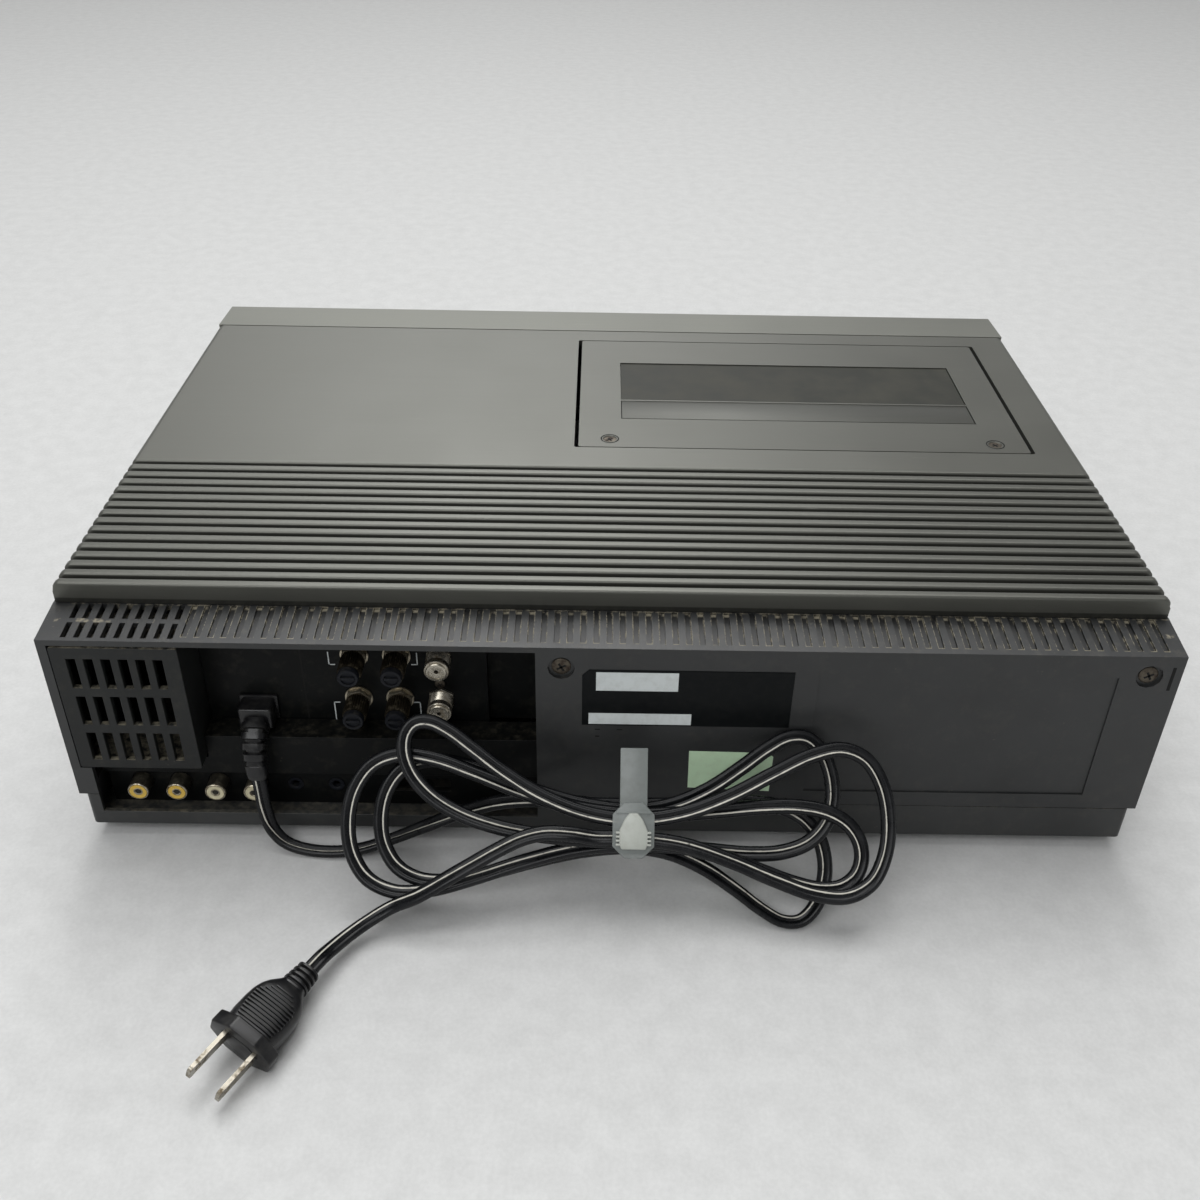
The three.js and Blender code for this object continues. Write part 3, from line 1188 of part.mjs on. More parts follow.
// Six-sided flat section: two tips and four shoulders
function hankTube() {
  const points = hankCentreline();
  const shoulder = (cord.width - cord.thickness) / 2;
  const tip = cord.width / 2;
  const rise = cord.thickness / 2;
  const ring = [[tip, 0], [shoulder, rise], [-shoulder, rise], [-tip, 0], [-shoulder, -rise], [shoulder, -rise]];
  const sides = ring.length;
  const vertices = [];
  points.forEach((point, i) => {
    const side = sideways(points, i);
    for (const [across, out] of ring) {
      const vertex = point.clone().addScaledVector(side, across).addScaledVector(hankOut, out);
      vertices.push(vertex.x, vertex.y, vertex.z);
    }
  });
  const faces = [];
  for (let i = 0; i + 1 < points.length; i += 1) {
    for (let s = 0; s < sides; s += 1) {
      const a = i * sides + s;
      const b = i * sides + ((s + 1) % sides);
      faces.push(a, a + sides, b, b, a + sides, b + sides);
    }
  }
  const last = (points.length - 1) * sides;
  for (let s = 1; s + 1 < sides; s += 1) {
    faces.push(0, s, s + 1, last, last + s + 1, last + s);
  }
  const geometry = new THREE.BufferGeometry();
  geometry.setAttribute('position', new THREE.Float32BufferAttribute(vertices, 3));
  geometry.setIndex(faces);
  return geometry;
}

// A lead's end runs straight for one width, square to what it meets
function straightEnd(meet, along) {
  const from = meet.clone().addScaledVector(along, cord.gap);
  return [from, from.clone().addScaledVector(along, cord.width)].map((point) => point.toArray());
}

function cordTie() {
  const layers = (loops.length * hank.layer) / 2;
  const reachUp = Math.abs(lane(0)) + cord.width / 2 + tie.clearance;
  const from = -hank.layer / 4 - cord.thickness / 2 - tie.clearance;
  const to = layers - hank.layer / 4 + cord.thickness / 2 + tie.clearance;
  const outer = rounded([-reachUp - tie.wall, reachUp + tie.wall], [from - tie.wall, to + tie.wall], 2 * tie.wall);
  outer.holes.push(rounded([-reachUp, reachUp], [from, to], tie.wall));
  const band = slab(outer, 'x', around(0, tie.width), 3);
  const w = tie.plateWidth / 2;
  const h = tie.plateHeight / 2;
  const c = tie.cut;
  const plateOutline = outline([
    [-w + c, -h], [w - c, -h], [w, -h + c], [w, h - c], [w - c, h], [-w + c, h], [-w, h - c], [-w, -h + c],
  ]);
  const front = to + tie.wall;
  const plate = slab(plateOutline, 'z', [front - tie.wall / 2, front + tie.plate]);
  const button = rod('z', tie.buttonRadius, [front, front + tie.plate + tie.button], [0, 0], facets.round);
  const tail = block(around(0, tie.width), [h - c, h + tie.tail], [front - tie.wall / 2, front + tie.wall / 2]);
  const lean = new THREE.Matrix4().makeBasis(new THREE.Vector3(-1, 0, 0), hankUp, hankOut);
  lean.setPosition(...hankPlace);
  return join(...[band, plate, button, tail].map((piece) => piece.applyMatrix4(lean)));
}

function strainRelief() {
  const reliefX = halfX - relief.fromSide;
  const back = antennaFace + fit.seat;
  const front = back + relief.depth;
  const base = slab(
    rounded(around(reliefX, relief.width), around(relief.z, relief.height), relief.corner), 'y', [back, front]);
  const end = new THREE.Vector3(...fromCorner(leadInPath[0]));
  const away = end.clone().sub(new THREE.Vector3(...fromCorner(leadInPath[1]))).normalize();
  const bend = end.clone().addScaledVector(away, (relief.z - relief.corner - end.z) / away.z);
  const path = new THREE.QuadraticBezierCurve3(
    new THREE.Vector3(reliefX, front - relief.corner, relief.z), bend, end.clone().addScaledVector(away, 2 * cord.gap));
  return join(base, taperedSleeve(path, relief.sleeveWidth, relief.sleeveEnd, relief.ribs, relief.ribDepth));
}

// A ribbed sleeve of round rings along a curve, from one width to the other
function taperedSleeve(path, startWidth, endWidth, ribs, ribDepth) {
  const steps = ribs * relief.ringsPerRib;
  const sides = facets.small;
  const frames = path.computeFrenetFrames(steps, false);
  const vertices = [];
  for (let i = 0; i <= steps; i += 1) {
    const centre = path.getPointAt(i / steps);
    const drawnIn = i % relief.ringsPerRib < relief.ringsPerRib / 2 ? 0 : ribDepth;
    const radius = (startWidth + ((endWidth - startWidth) * i) / steps) / 2 - drawnIn;
    for (let s = 0; s < sides; s += 1) {
      const turn = (2 * Math.PI * s) / sides;
      const vertex = centre.clone().addScaledVector(frames.normals[i], radius * Math.cos(turn))
        .addScaledVector(frames.binormals[i], radius * Math.sin(turn));
      vertices.push(vertex.x, vertex.y, vertex.z);
    }
  }
  const faces = [];
  for (let i = 0; i < steps; i += 1) {
    for (let s = 0; s < sides; s += 1) {
      const a = i * sides + s;
      const b = i * sides + ((s + 1) % sides);
      faces.push(a, b, a + sides, b, b + sides, a + sides);
    }
  }
  const last = steps * sides;
  for (let s = 1; s + 1 < sides; s += 1) {
    faces.push(0, s + 1, s, last, last + s, last + s + 1);
  }
  const geometry = new THREE.BufferGeometry();
  geometry.setAttribute('position', new THREE.Float32BufferAttribute(vertices, 3));
  geometry.setIndex(faces);
  return geometry;
}

// The plug lies on the table along its own axis, nose first, rolled onto a slanted side of its face
function plugFrame(geometry) {
  return geometry.rotateX(plug.roll * radian).rotateZ(plug.heading * radian).translate(...plugPlace);
}

function plugBody() {
  const neckEnd = plug.neckLength;
  const gripStart = neckEnd + plug.shoulder;
  const gripEnd = gripStart + plug.gripLength;
  const noseEnd = gripEnd + plug.faceLength;
  const plan = new THREE.Shape();
  plan.moveTo(neckEnd - fit.overrun / 2, -plug.neckWidth / 2);
  plan.bezierCurveTo(
    neckEnd, -plug.neckWidth / 2, neckEnd, -plug.gripWaist / 2, gripStart, -plug.gripWaist / 2);
  plan.lineTo(gripEnd, -plug.gripWidth / 2);
  plan.lineTo(gripEnd, plug.gripWidth / 2);
  plan.lineTo(gripStart, plug.gripWaist / 2);
  plan.bezierCurveTo(
    neckEnd, plug.gripWaist / 2, neckEnd, plug.neckWidth / 2, neckEnd - fit.overrun / 2, plug.neckWidth / 2);
  const body = new THREE.ExtrudeGeometry(plan, {
    depth: plug.height - 2 * plug.edge, bevelThickness: plug.edge, bevelSize: plug.edge, bevelOffset: -plug.edge,
    bevelSegments: 1, curveSegments: facets.arc,
  }).translate(0, 0, plug.edge - plug.height / 2);
  const w = plug.faceWidth / 2;
  const h = plug.faceHeight / 2;
  const [c, d] = plug.faceCut;
  const nose = slab(outline([
    [-w, -h + d], [-w + c, -h], [w - c, -h], [w, -h + d], [w, h - d], [w - c, h], [-w + c, h], [-w, h - d],
  ]), 'x', [gripEnd - plug.edge, noseEnd]);
  const rings = [];
  for (let i = 0; i < plug.rings; i += 1) {
    const start = (i * neckEnd) / plug.rings;
    rings.push(slab(rounded(around(0, plug.neckWidth), around(0, plug.neckHeight), plug.edge), 'x', [
      start, start + neckEnd / plug.rings / 2], facets.slot));
  }
  const coreWidth = plug.neckWidth - 2 * plug.ringDepth;
  const coreHeight = plug.neckHeight - 2 * plug.ringDepth;
  const core = slab(rounded(around(0, coreWidth), around(0, coreHeight), plug.edge / 2), 'x', [
    0, gripStart], facets.slot);
  const grooves = [];
  for (let i = 0; i < plug.grooves; i += 1) {
    const x = gripStart + ((i + 0.5) * plug.gripLength) / plug.grooves;
    const span = around(x, plug.gripLength / plug.grooves / 3);
    grooves.push(block(span, around(0, plug.gripWaist - 2 * plug.edge), [
      plug.height / 2 - plug.grooveDepth, plug.height / 2 + fit.overrun]));
  }
  const slots = bladeSides.map((side) => block(
    [noseEnd - plug.faceLength / 2, noseEnd + fit.overrun],
    around(side * blade.apart / 2, blade.thickness + 2 * fit.seat), around(0, blade.height + 2 * fit.seat)));
  return cut(
    join(...[body, nose, core, ...rings].map(plugFrame)), ...grooves.map(plugFrame), ...slots.map(plugFrame));
}

const bladeSides = [-1, 1];

function plugBlade(side) {
  const noseEnd = plug.neckLength + plug.shoulder + plug.gripLength + plug.faceLength;
  const start = noseEnd - plug.faceLength / 2 + fit.seat;
  const end = noseEnd + blade.length;
  const shape = rounded([start, end], around(0, blade.height), blade.thickness);
  shape.holes.push(ringHole(end - blade.holeIn, 0, blade.holeRadius));
  const flat = slab(shape, 'y', around(side * blade.apart / 2, blade.thickness), 4);
  return plugFrame(flat);
}

// Assembly

add('bottom_tray', bottomTray(), blackPlastic);
for (const place of footPlaces) {
  add(place[0], rubberFoot(place), footRubber);
}
add('cabinet_shell', cabinetShell(), charcoal);
add('top_cover', topCover(), gunmetal);
add('front_bezel', frontBezel(), gunmetal);
add('rear_vent_grille', grillePiece(), charcoal);
add('antenna_panel', antennaPanel(), blackPlastic);
add('jack_panel', jackPanel(), blackPlastic);
terminalX.forEach((x, column) => terminalZ.forEach((z, row) => {
  const name = `antenna_terminal_${row === 0 ? 'upper' : 'lower'}_${column === 0 ? 'left' : 'right'}`;
  add(name, antennaTerminal(x, z), nickel);
}));
add('phono_jack_block', phonoJacks(), jackCream);

add('display_window', displayPane(), smokedPane);
add('control_door', controlDoor(), gunmetal);
add('tracking_knob', trackingKnob(), blackPlastic);
buttons.names.forEach((name, i) => add(`${name}_button`, pushButton(i), charcoal));

add('cassette_lid', onDeck(cassetteLid()), gunmetal);
add('lid_window', onDeck(lidPane()), smokedPane);
add('cassette_holder', onDeck(cassetteHolder()), zincSteel);
for (const [side, word] of [[1, 'left'], [-1, 'right']]) {
  add(`front_lift_arm_${word}`, onDeck(liftArm(side, lift.front)), zincSteel);
  add(`rear_lift_arm_${word}`, onDeck(liftArm(side, lift.rear)), zincSteel);
}

add('deck_chassis', onDeck(deckChassis()), zincSteel);
add('supply_reel', onDeck(tapeReel(-1)), whitePlastic);
add('takeup_reel', onDeck(tapeReel(1)), whitePlastic);
add('drum_lower', onDeck(lowerDrum()), castAlloy);
add('drum_upper', onDeck(upperDrum()), castAlloy);
add('capstan', onDeck(capstanWheel()), castAlloy);
add('pinch_arm', onDeck(pinchArm()), zincSteel);
add('pinch_roller', onDeck(pinchRoller()), rollerRubber);
add('supply_guide', onDeck(tapeGuide(guide.supply)), castAlloy);
add('takeup_guide', onDeck(tapeGuide(guide.takeup)), castAlloy);
add('sound_control_head', onDeck(tapeHead(soundHead, capstanX - soundHead.fromCapstan)), castAlloy);
add('erase_head', onDeck(tapeHead(eraseHead, deckX[0] + eraseHead.fromEnd)), castAlloy);
add('loading_motor', onDeck(loadingMotor()), coreIron);

add('main_board', mainBoard(), boardGreen);
add('power_transformer', powerTransformer(), coreIron);
add('tuner_box', tunerBox(), zincSteel);

const hankPoints = hankCentreline();
const leftward = new THREE.Vector3(1, 0, 0);
const backward = new THREE.Vector3(-Math.cos(plug.heading * radian), -Math.sin(plug.heading * radian), 0);
console.log(`hank's least gap to itself: ${leastGap(hankCentreline(2 * hank.steps)).toFixed(2)} mm`);
add('strain_relief', strainRelief(), cordBlack);
add('cord_lead_in', lead([
  ...leadInPath.map(fromCorner), ...straightEnd(hankPoints[0], leftward).reverse(),
]), cordBlack);
add('cord_hank', hankTube(), cordBlack);
add('cord_lead_out', lead([
  ...straightEnd(hankPoints[hankPoints.length - 1], leftward), ...leadOutPath.map(fromCorner),
  ...straightEnd(new THREE.Vector3(...plugPlace), backward).reverse(),
]), cordBlack);
add('cord_tie', cordTie(), tieClear);
add('plug_body', plugBody(), cordBlack);
add('plug_blade_left', plugBlade(-1), brassPlate);
add('plug_blade_right', plugBlade(1), brassPlate);

export default model;
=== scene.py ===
import json
import math

import bmesh
import bpy
from mathutils import Matrix, Vector

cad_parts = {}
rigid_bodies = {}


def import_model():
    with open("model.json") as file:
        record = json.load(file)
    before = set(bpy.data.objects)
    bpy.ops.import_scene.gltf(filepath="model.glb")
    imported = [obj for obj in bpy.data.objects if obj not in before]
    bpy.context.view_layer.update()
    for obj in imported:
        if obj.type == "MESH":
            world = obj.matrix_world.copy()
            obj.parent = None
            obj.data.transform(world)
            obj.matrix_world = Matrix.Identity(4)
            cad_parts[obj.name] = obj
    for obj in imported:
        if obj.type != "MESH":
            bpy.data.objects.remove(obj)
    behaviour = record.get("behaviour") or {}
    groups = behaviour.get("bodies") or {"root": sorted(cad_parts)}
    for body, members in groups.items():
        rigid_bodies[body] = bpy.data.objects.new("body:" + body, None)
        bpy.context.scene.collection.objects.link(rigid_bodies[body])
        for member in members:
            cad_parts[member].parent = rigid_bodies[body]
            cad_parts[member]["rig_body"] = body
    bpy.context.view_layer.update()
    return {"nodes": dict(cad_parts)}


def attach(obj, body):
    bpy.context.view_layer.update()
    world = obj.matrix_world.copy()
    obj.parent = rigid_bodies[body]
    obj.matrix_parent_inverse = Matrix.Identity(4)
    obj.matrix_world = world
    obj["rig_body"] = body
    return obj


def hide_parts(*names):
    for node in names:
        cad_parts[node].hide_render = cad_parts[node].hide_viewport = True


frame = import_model()
mm = 0.001
sideWay, rearWay, upWay = Vector((1, 0, 0)), Vector((0, 1, 0)), Vector((0, 0, 1))
print("frame loaded")


def linked(name, data):
    thing = bpy.data.objects.new(name, data)
    bpy.context.scene.collection.objects.link(thing)
    return thing


# Camera, behind and above the recorder

viewpoint = {
    "lens": 37.605, "place": (0.007644, 0.535106, 0.381872),
    "azimuth": 179.611, "elevation": 34.651, "roll": 1.094, "nearest": 0.02,
}


def makeCamera():
    azimuth, elevation, roll = (math.radians(viewpoint[word]) for word in ("azimuth", "elevation", "roll"))
    level = Vector((math.sin(azimuth), -math.cos(azimuth), 0))
    back = level * math.cos(elevation) + upWay * math.sin(elevation)
    right = (-back).cross(upWay).normalized()
    up = right.cross(-back)
    tilted = Matrix((
        right * math.cos(roll) + up * math.sin(roll), up * math.cos(roll) - right * math.sin(roll), back))
    data = bpy.data.cameras.new("camera")
    data.lens, data.clip_start = viewpoint["lens"], viewpoint["nearest"]
    camera = linked("camera", data)
    camera.matrix_world = Matrix.Translation(viewpoint["place"]) @ tilted.transposed().to_4x4()
    bpy.context.scene.camera = camera


makeCamera()

# Materials: sums on sockets, and one method for every other node


class Signal:
    def __init__(self, paint, socket):
        self.paint, self.socket = paint, socket

    def math(self, operation, *values):
        return self.paint.node("ShaderNodeMath", {"operation": operation}, dict(enumerate(values)))

    def __add__(self, other):
        return self.math("ADD", self, other)

    def __mul__(self, other):
        return self.math("MULTIPLY", self, other)

    def __sub__(self, other):
        return self.math("SUBTRACT", self, other)

    def __rsub__(self, other):
        return self.math("SUBTRACT", other, self)

    def __abs__(self):
        return self.math("ABSOLUTE", self)

    __radd__ = __add__
    __rmul__ = __mul__


class Paint:
    def __init__(self, name, kind=bpy.data.materials):
        self.material = kind.new(name)
        self.material.use_nodes = True
        self.tree = self.material.node_tree
        self.tree.nodes.clear()

    def node(self, kind, settings=(), values=(), output=0):
        made = self.tree.nodes.new(kind)
        for word, value in dict(settings).items():
            setattr(made, word, value)
        for word, value in dict(values).items():
            if isinstance(value, Signal):
                self.tree.links.new(value.socket, made.inputs[word])
            else:
                made.inputs[word].default_value = value
        return Signal(self, made.outputs[output]) if len(made.outputs) else None


def objectPlace(paint):
    return paint.node("ShaderNodeTexCoord", output="Object")


def stretched(paint, scale, turn=(0, 0, 0)):
    values = {"Vector": objectPlace(paint), "Scale": scale, "Rotation": turn}
    return paint.node("ShaderNodeMapping", {}, values)


def noise(paint, size, detail=3.0, roughness=0.55, at=None):  # size in metres
    values = {"Vector": at or objectPlace(paint), "Scale": 1 / size, "Detail": detail, "Roughness": roughness}
    return paint.node("ShaderNodeTexNoise", {}, values)


def ranged(paint, value, low, high, start=0.0, end=1.0, kind="LINEAR"):
    values = {"Value": value, "From Min": low, "From Max": high, "To Min": start, "To Max": end}
    return paint.node("ShaderNodeMapRange", {"clamp": True, "interpolation_type": kind}, values)


def step(paint, value, edge, start=0.0, end=1.0):  # from one value to another over an edge in millimetres
    return ranged(paint, value, edge[0] * mm, edge[1] * mm, start, end)


def near(paint, value, place, reach, fade=2):  # 1 within reach of a place, 0 past fade times the reach
    return step(paint, abs(value - place * mm), (reach, fade * reach), 1, 0)


def opaque(value):  # a colour gets its fourth channel
    return (*value, 1) if isinstance(value, tuple) and len(value) == 3 else value


def tinted(base, share):
    return tuple(channel * share for channel in base)


def blended(paint, share, first, second):  # colours
    values = {0: share, 6: opaque(first), 7: opaque(second)}
    return paint.node("ShaderNodeMix", {"data_type": "RGBA"}, values, output=2)


def axis(paint, vector, letter):
    return paint.node("ShaderNodeSeparateXYZ", {}, {"Vector": vector}, output=letter)


def bump(paint, height, distance, strength):
    return paint.node("ShaderNodeBump", {}, {"Height": height, "Distance": distance, "Strength": strength})


def shaded(paint, **values):
    sockets = {word.replace("_", " "): opaque(value) for word, value in values.items()}
    shader = paint.node("ShaderNodeBsdfPrincipled", {}, sockets)
    paint.node("ShaderNodeOutputMaterial", {}, {"Surface": shader})
    return paint.material


def facingUp(paint):
    return axis(paint, paint.node("ShaderNodeTexCoord", output="Normal"), "Z")


def specks(paint, size, share):  # scattered crumbs of dust, by the share of the surface that they cover
    values = {"Vector": objectPlace(paint), "Scale": 1 / size}
    cells = paint.node("ShaderNodeTexVoronoi", {"feature": "F1"}, values)
    patches = ranged(paint, noise(paint, size * 6), 1 - share - 0.06, 1 - share + 0.06)
    return ranged(paint, cells, 0.12, 0.28, 1, 0) * patches


dustTone = (0.25, 0.225, 0.165)
plastics = {  # colour, roughness, grain in metres, dust all over, dust on what faces up, shine
    "charcoal": ((0.021, 0.022, 0.0225), 0.42, 0.00035, 0.3, 0.0, 0.5),
    "grille": ((0.014, 0.015, 0.0148), 0.46, 0.00035, 0.3, 0.8, 0.25),
    "black": ((0.0045, 0.005, 0.005), 0.36, 0.0003, 0.3, 0.04, 0.12),
    "tray": ((0.024, 0.025, 0.025), 0.42, 0.0003, 0.4, 0.2, 0.5),
    "terminal": ((0.006, 0.007, 0.01), 0.4, 0.0003, 0.15, 0.05, 0.2),
    "button": ((0.05, 0.051, 0.05), 0.45, 0.0003, 0.1, 0.0, 0.5),
    "footRubber": ((0.02, 0.02, 0.02), 0.8, 0.0005, 0.3, 0.0, 0.4),
    "rollerRubber": ((0.022, 0.022, 0.022), 0.7, 0.0004, 0.0, 0.0, 0.4),
    "white": ((0.62, 0.6, 0.54), 0.42, 0.0004, 0.2, 0.0, 0.5),
    "board": ((0.035, 0.13, 0.05), 0.35, 0.0006, 0.3, 0.2, 0.5),
    "jack": ((0.02, 0.018, 0.014), 0.4, 0.0003, 0.5, 0.2, 0.3),
}
settling = {"cloud": 0.03, "patch": 0.006, "crumb": 0.0018, "ledge": 0.003}  # sizes of the patterns, metres
grooves = {  # the blind grooves of the sloping strip, millimetres; floor is the colour of the painted shade on their floors
    "first": 161.1, "pitch": 5, "halfWidth": 1.1, "wall": (1.0, 1.25), "from": 138.8, "to": 157,
    "rowGap": 148.5, "blindFrom": (-211.5, -211), "blindTo": (163.2, 163.6), "above": (99.5, 99.8),
    "line": 0.17, "floor": (0.003, 0.003, 0.003),
}


def grooveDustAndShade(paint):  # dust along the grooves' edges and in their ends, and painted shade on the grooves' floors
    place = objectPlace(paint)
    x, y, z = (axis(paint, place, letter) for letter in "XYZ")
    start, end = grooves["from"], grooves["to"]
    fromRow = x - (grooves["first"] - 100 * grooves["pitch"]) * mm
    off = x.math("PINGPONG", fromRow, grooves["pitch"] / 2 * mm)
    edges = near(paint, off, grooves["halfWidth"], grooves["line"])
    inside = step(paint, off, grooves["wall"], 1, 0)
    ends = (near(paint, y, start + 0.5, 0.6) + near(paint, y, end - 0.4, 0.45)) * inside
    along = step(paint, y, (start - 0.1, start + 0.1)) * step(paint, y, (end + 0.1, end + 0.4), 1, 0)
    blind = step(paint, x, grooves["blindTo"], 1, 0) * step(paint, x, grooves["blindFrom"])
    high = step(paint, z, grooves["above"])
    streaks = noise(paint, 1.0, 3, 0.6, stretched(paint, (420, 130, 130)))
    broken = ranged(paint, streaks, 0.45, 0.6) * ranged(paint, noise(paint, 0.0011, 3), 0.4, 0.54)
    caught = ranged(paint, noise(paint, 0.005, 3, 0.6, stretched(paint, (1, 0.2, 0.2))), 0.42, 0.55)
    seam = near(paint, y, start + 0.1, 0.25) * ranged(paint, noise(paint, 0.003, 4), 0.5, 0.6) * 0.6
    rows = near(paint, y, grooves["rowGap"], 0.7) * ranged(paint, noise(paint, 0.004, 4), 0.56, 0.66)
    dust = ((edges * broken + ends * caught) * along * blind + seam + rows * (1 - blind)) * high
    return dust, inside * along * blind * high


def plasticPaint(name):
    base, rough, grain, dusty, ledge, shine = plastics[name]
    paint = Paint(name + "Plastic")
    cloud = noise(paint, settling["cloud"], 4)
    settled = ranged(paint, noise(paint, settling["patch"], 6, 0.7), 0.52, 0.78)
    settled = settled * ranged(paint, facingUp(paint), -0.1, 0.9, 0.25, 1)
    share = (settled * 0.5 + specks(paint, settling["crumb"], 0.3) * 0.8) * dusty
    if ledge:
        lying = ranged(paint, noise(paint, settling["ledge"], 5, 0.7), 0.4, 0.62)
        share = share + ranged(paint, facingUp(paint), 0.6, 0.9) * lying * ledge
    body = blended(paint, ranged(paint, cloud, 0.35, 0.65), tinted(base, 0.82), tinted(base, 1.18))
    if name == "charcoal":
        # real dust along the grooves, and painted shade on their floors
        dust, floorShade = grooveDustAndShade(paint)
        share = share * (1 - floorShade * 0.7) + dust * 0.9
        body = blended(paint, floorShade * 0.75, body, grooves["floor"])
    return shaded(
        paint, Base_Color=blended(paint, share, body, dustTone), Specular_IOR_Level=shine,
        Roughness=ranged(paint, cloud, 0.3, 0.7, rough - 0.05, rough + 0.07) + share * 0.3,
        Normal=bump(paint, noise(paint, grain, 2), 0.00003, 0.6))


gunmetal = {  # colour, roughness
    "cover": ((0.118, 0.119, 0.105), 0.37), "lid": ((0.108, 0.109, 0.096), 0.38),
    "strip": ((0.085, 0.086, 0.077), 0.44), "lip": ((0.18, 0.182, 0.16), 0.38),
}
hollowShade = {  # painted shade on the cover: between its ribs and at the foot of its rear face, millimetres; tone is the shade's colour
    "front": (39.8, 40.4), "halfWidth": 214.6, "rear": (137.5, 138.1), "floor": (108.5, 111.1),
    "foot": (104.8, 105.3), "footShare": 0.75, "tone": (0.01, 0.0095, 0.0085),
}


def paintedHollowShade(paint):
    # painted shade: dark in the grooves between the ribs and at the foot of the rear face
    place = objectPlace(paint)
    x, y, z = (axis(paint, place, letter) for letter in "XYZ")
    within = step(paint, y, hollowShade["front"]) * near(paint, x, 0, hollowShade["halfWidth"], 1.001)
    behind = step(paint, y, hollowShade["rear"])
    depth = step(paint, z, hollowShade["floor"], 1, 0) * (1 - behind) * within
    return depth + behind * step(paint, z, hollowShade["foot"], hollowShade["footShare"], 0)


def gunmetalPaint(name):
    base, rough = gunmetal[name]
    paint = Paint(name + "Gunmetal")
    flake = noise(paint, 0.00028, 2, 0.6)
    brushed = noise(paint, 1.0, 3, 0.6, stretched(paint, (14, 900, 900)))
    cloud = noise(paint, 0.05, 4)
    tone, settled = 0.5, 0
    for pattern, share in ((flake, 0.12), (brushed, 0.05), (cloud, 0.06)):
        tone = tone + ranged(paint, pattern, 0.3, 0.7, -0.5, 0.5) * share
    body = blended(paint, tone, tinted(base, 0.55), tinted(base, 1.45))
    if name == "cover":
        # painted shade in the hollows, and real dust that settles in them
        depth = paintedHollowShade(paint)
        settled = ranged(paint, noise(paint, 0.004, 5, 0.7), 0.45, 0.75) * depth
        body = blended(paint, depth * 0.93, body, hollowShade["tone"])
        body = blended(paint, settled * 0.08, body, dustTone)
    scratches = noise(paint, 1.0, 2, 0.5, stretched(paint, (60, 2600, 900), (0, 0, 0.5)))
    scratched = ranged(paint, scratches, 0.72, 0.78) * ranged(paint, noise(paint, 0.04), 0.55, 0.6)
    return shaded(
        paint, Base_Color=blended(paint, scratched * 0.25, body, (0.5, 0.5, 0.46)), Metallic=0.6,
        Roughness=ranged(paint, cloud, 0.3, 0.7, rough - 0.03, rough + 0.05) + settled * 0.2,
        Normal=bump(paint, flake, 0.00002, 0.5))


metals = {  # colour, roughness, colour of the stain, how far it is stained
    "nickel": ((0.5, 0.45, 0.35), 0.3, (0.1, 0.075, 0.045), 0.45),
    "plated": ((0.5, 0.465, 0.39), 0.24, (0.16, 0.125, 0.08), 0.4),
    "zinc": ((0.55, 0.56, 0.57), 0.38, (0.36, 0.35, 0.32), 0.3),
    "alloy": ((0.62, 0.62, 0.63), 0.25, (0.45, 0.45, 0.45), 0.1),
    "iron": ((0.09, 0.095, 0.1), 0.5, (0.12, 0.08, 0.05), 0.2),
    "brass": ((0.4, 0.37, 0.31), 0.3, (0.14, 0.11, 0.07), 0.45),
    "grip": ((0.06, 0.05, 0.035), 0.45, (0.15, 0.125, 0.085), 0.4),
    "screw": ((0.11, 0.095, 0.075), 0.38, (0.04, 0.028, 0.02), 0.5),
}


def metalPaint(name):
    base, rough, stain, stained = metals[name]
    paint = Paint(name + "Metal")
    patches = ranged(paint, noise(paint, 0.003, 5, 0.65), 0.62 - stained * 0.3, 0.8 - stained * 0.3)
    fine = noise(paint, 0.0004, 3)
    worn = blended(paint, ranged(paint, fine, 0.3, 0.7, 0, 0.25), base, tinted(base, 0.7))
    return shaded(
        paint, Base_Color=blended(paint, patches, worn, stain),
        Metallic=ranged(paint, patches, 0, 1, 0.95, 0.6),
        Roughness=patches * 0.25 + ranged(paint, fine, 0.3, 0.7, rough - 0.05, rough + 0.08),
        Normal=bump(paint, fine, 0.00002, 0.5))


pane = {"base": (0.045, 0.046, 0.041), "rough": 0.3, "shine": 0.05, "film": 0.02, "crumb": 0.0016}


def panePaint():
    paint = Paint("smokedPane")
    film = ranged(paint, noise(paint, pane["film"], 5, 0.6), 0.4, 0.75)
    crumbs = specks(paint, pane["crumb"], 0.25)
    return shaded(
        paint, Base_Color=blended(paint, crumbs * 0.4 + film * 0.1, pane["base"], dustTone),
        Roughness=film * 0.12 + pane["rough"] + crumbs * 0.3, Specular_IOR_Level=pane["shine"])


plainLooks = {  # colour, roughness, colour of the soiling, shine, alpha
    "plugVinyl": ((0.007, 0.007, 0.008), 0.3, (0.04, 0.038, 0.034), 0.45, 1.0),
    "tieMilky": ((0.28, 0.305, 0.295), 0.3, (0.2, 0.21, 0.195), 0.6, 0.6),
    "tieWhite": ((0.44, 0.46, 0.42), 0.35, (0.32, 0.32, 0.28), 0.5, 1.0),
    "jackYellow": ((0.72, 0.47, 0.07), 0.35, (0.45, 0.32, 0.1), 0.6, 1.0),
    "jackCream": ((0.68, 0.62, 0.42), 0.35, (0.42, 0.38, 0.26), 0.6, 1.0),
    "plateGloss": ((0.003, 0.004, 0.0045), 0.4, (0.012, 0.012, 0.012), 0.12, 1.0),
    "paperWhite": ((0.62, 0.66, 0.66), 0.5, (0.42, 0.44, 0.42), 0.5, 1.0),
    "stickerGreen": ((0.62, 0.83, 0.57), 0.45, (0.52, 0.65, 0.44), 0.5, 1.0),
    # a near-black finish of painted shade, for dark pieces that stand in for slots, gaps and hollows
    "recess": ((0.006, 0.006, 0.006), 0.6, (0.02, 0.018, 0.015), 0.2, 1.0),
}


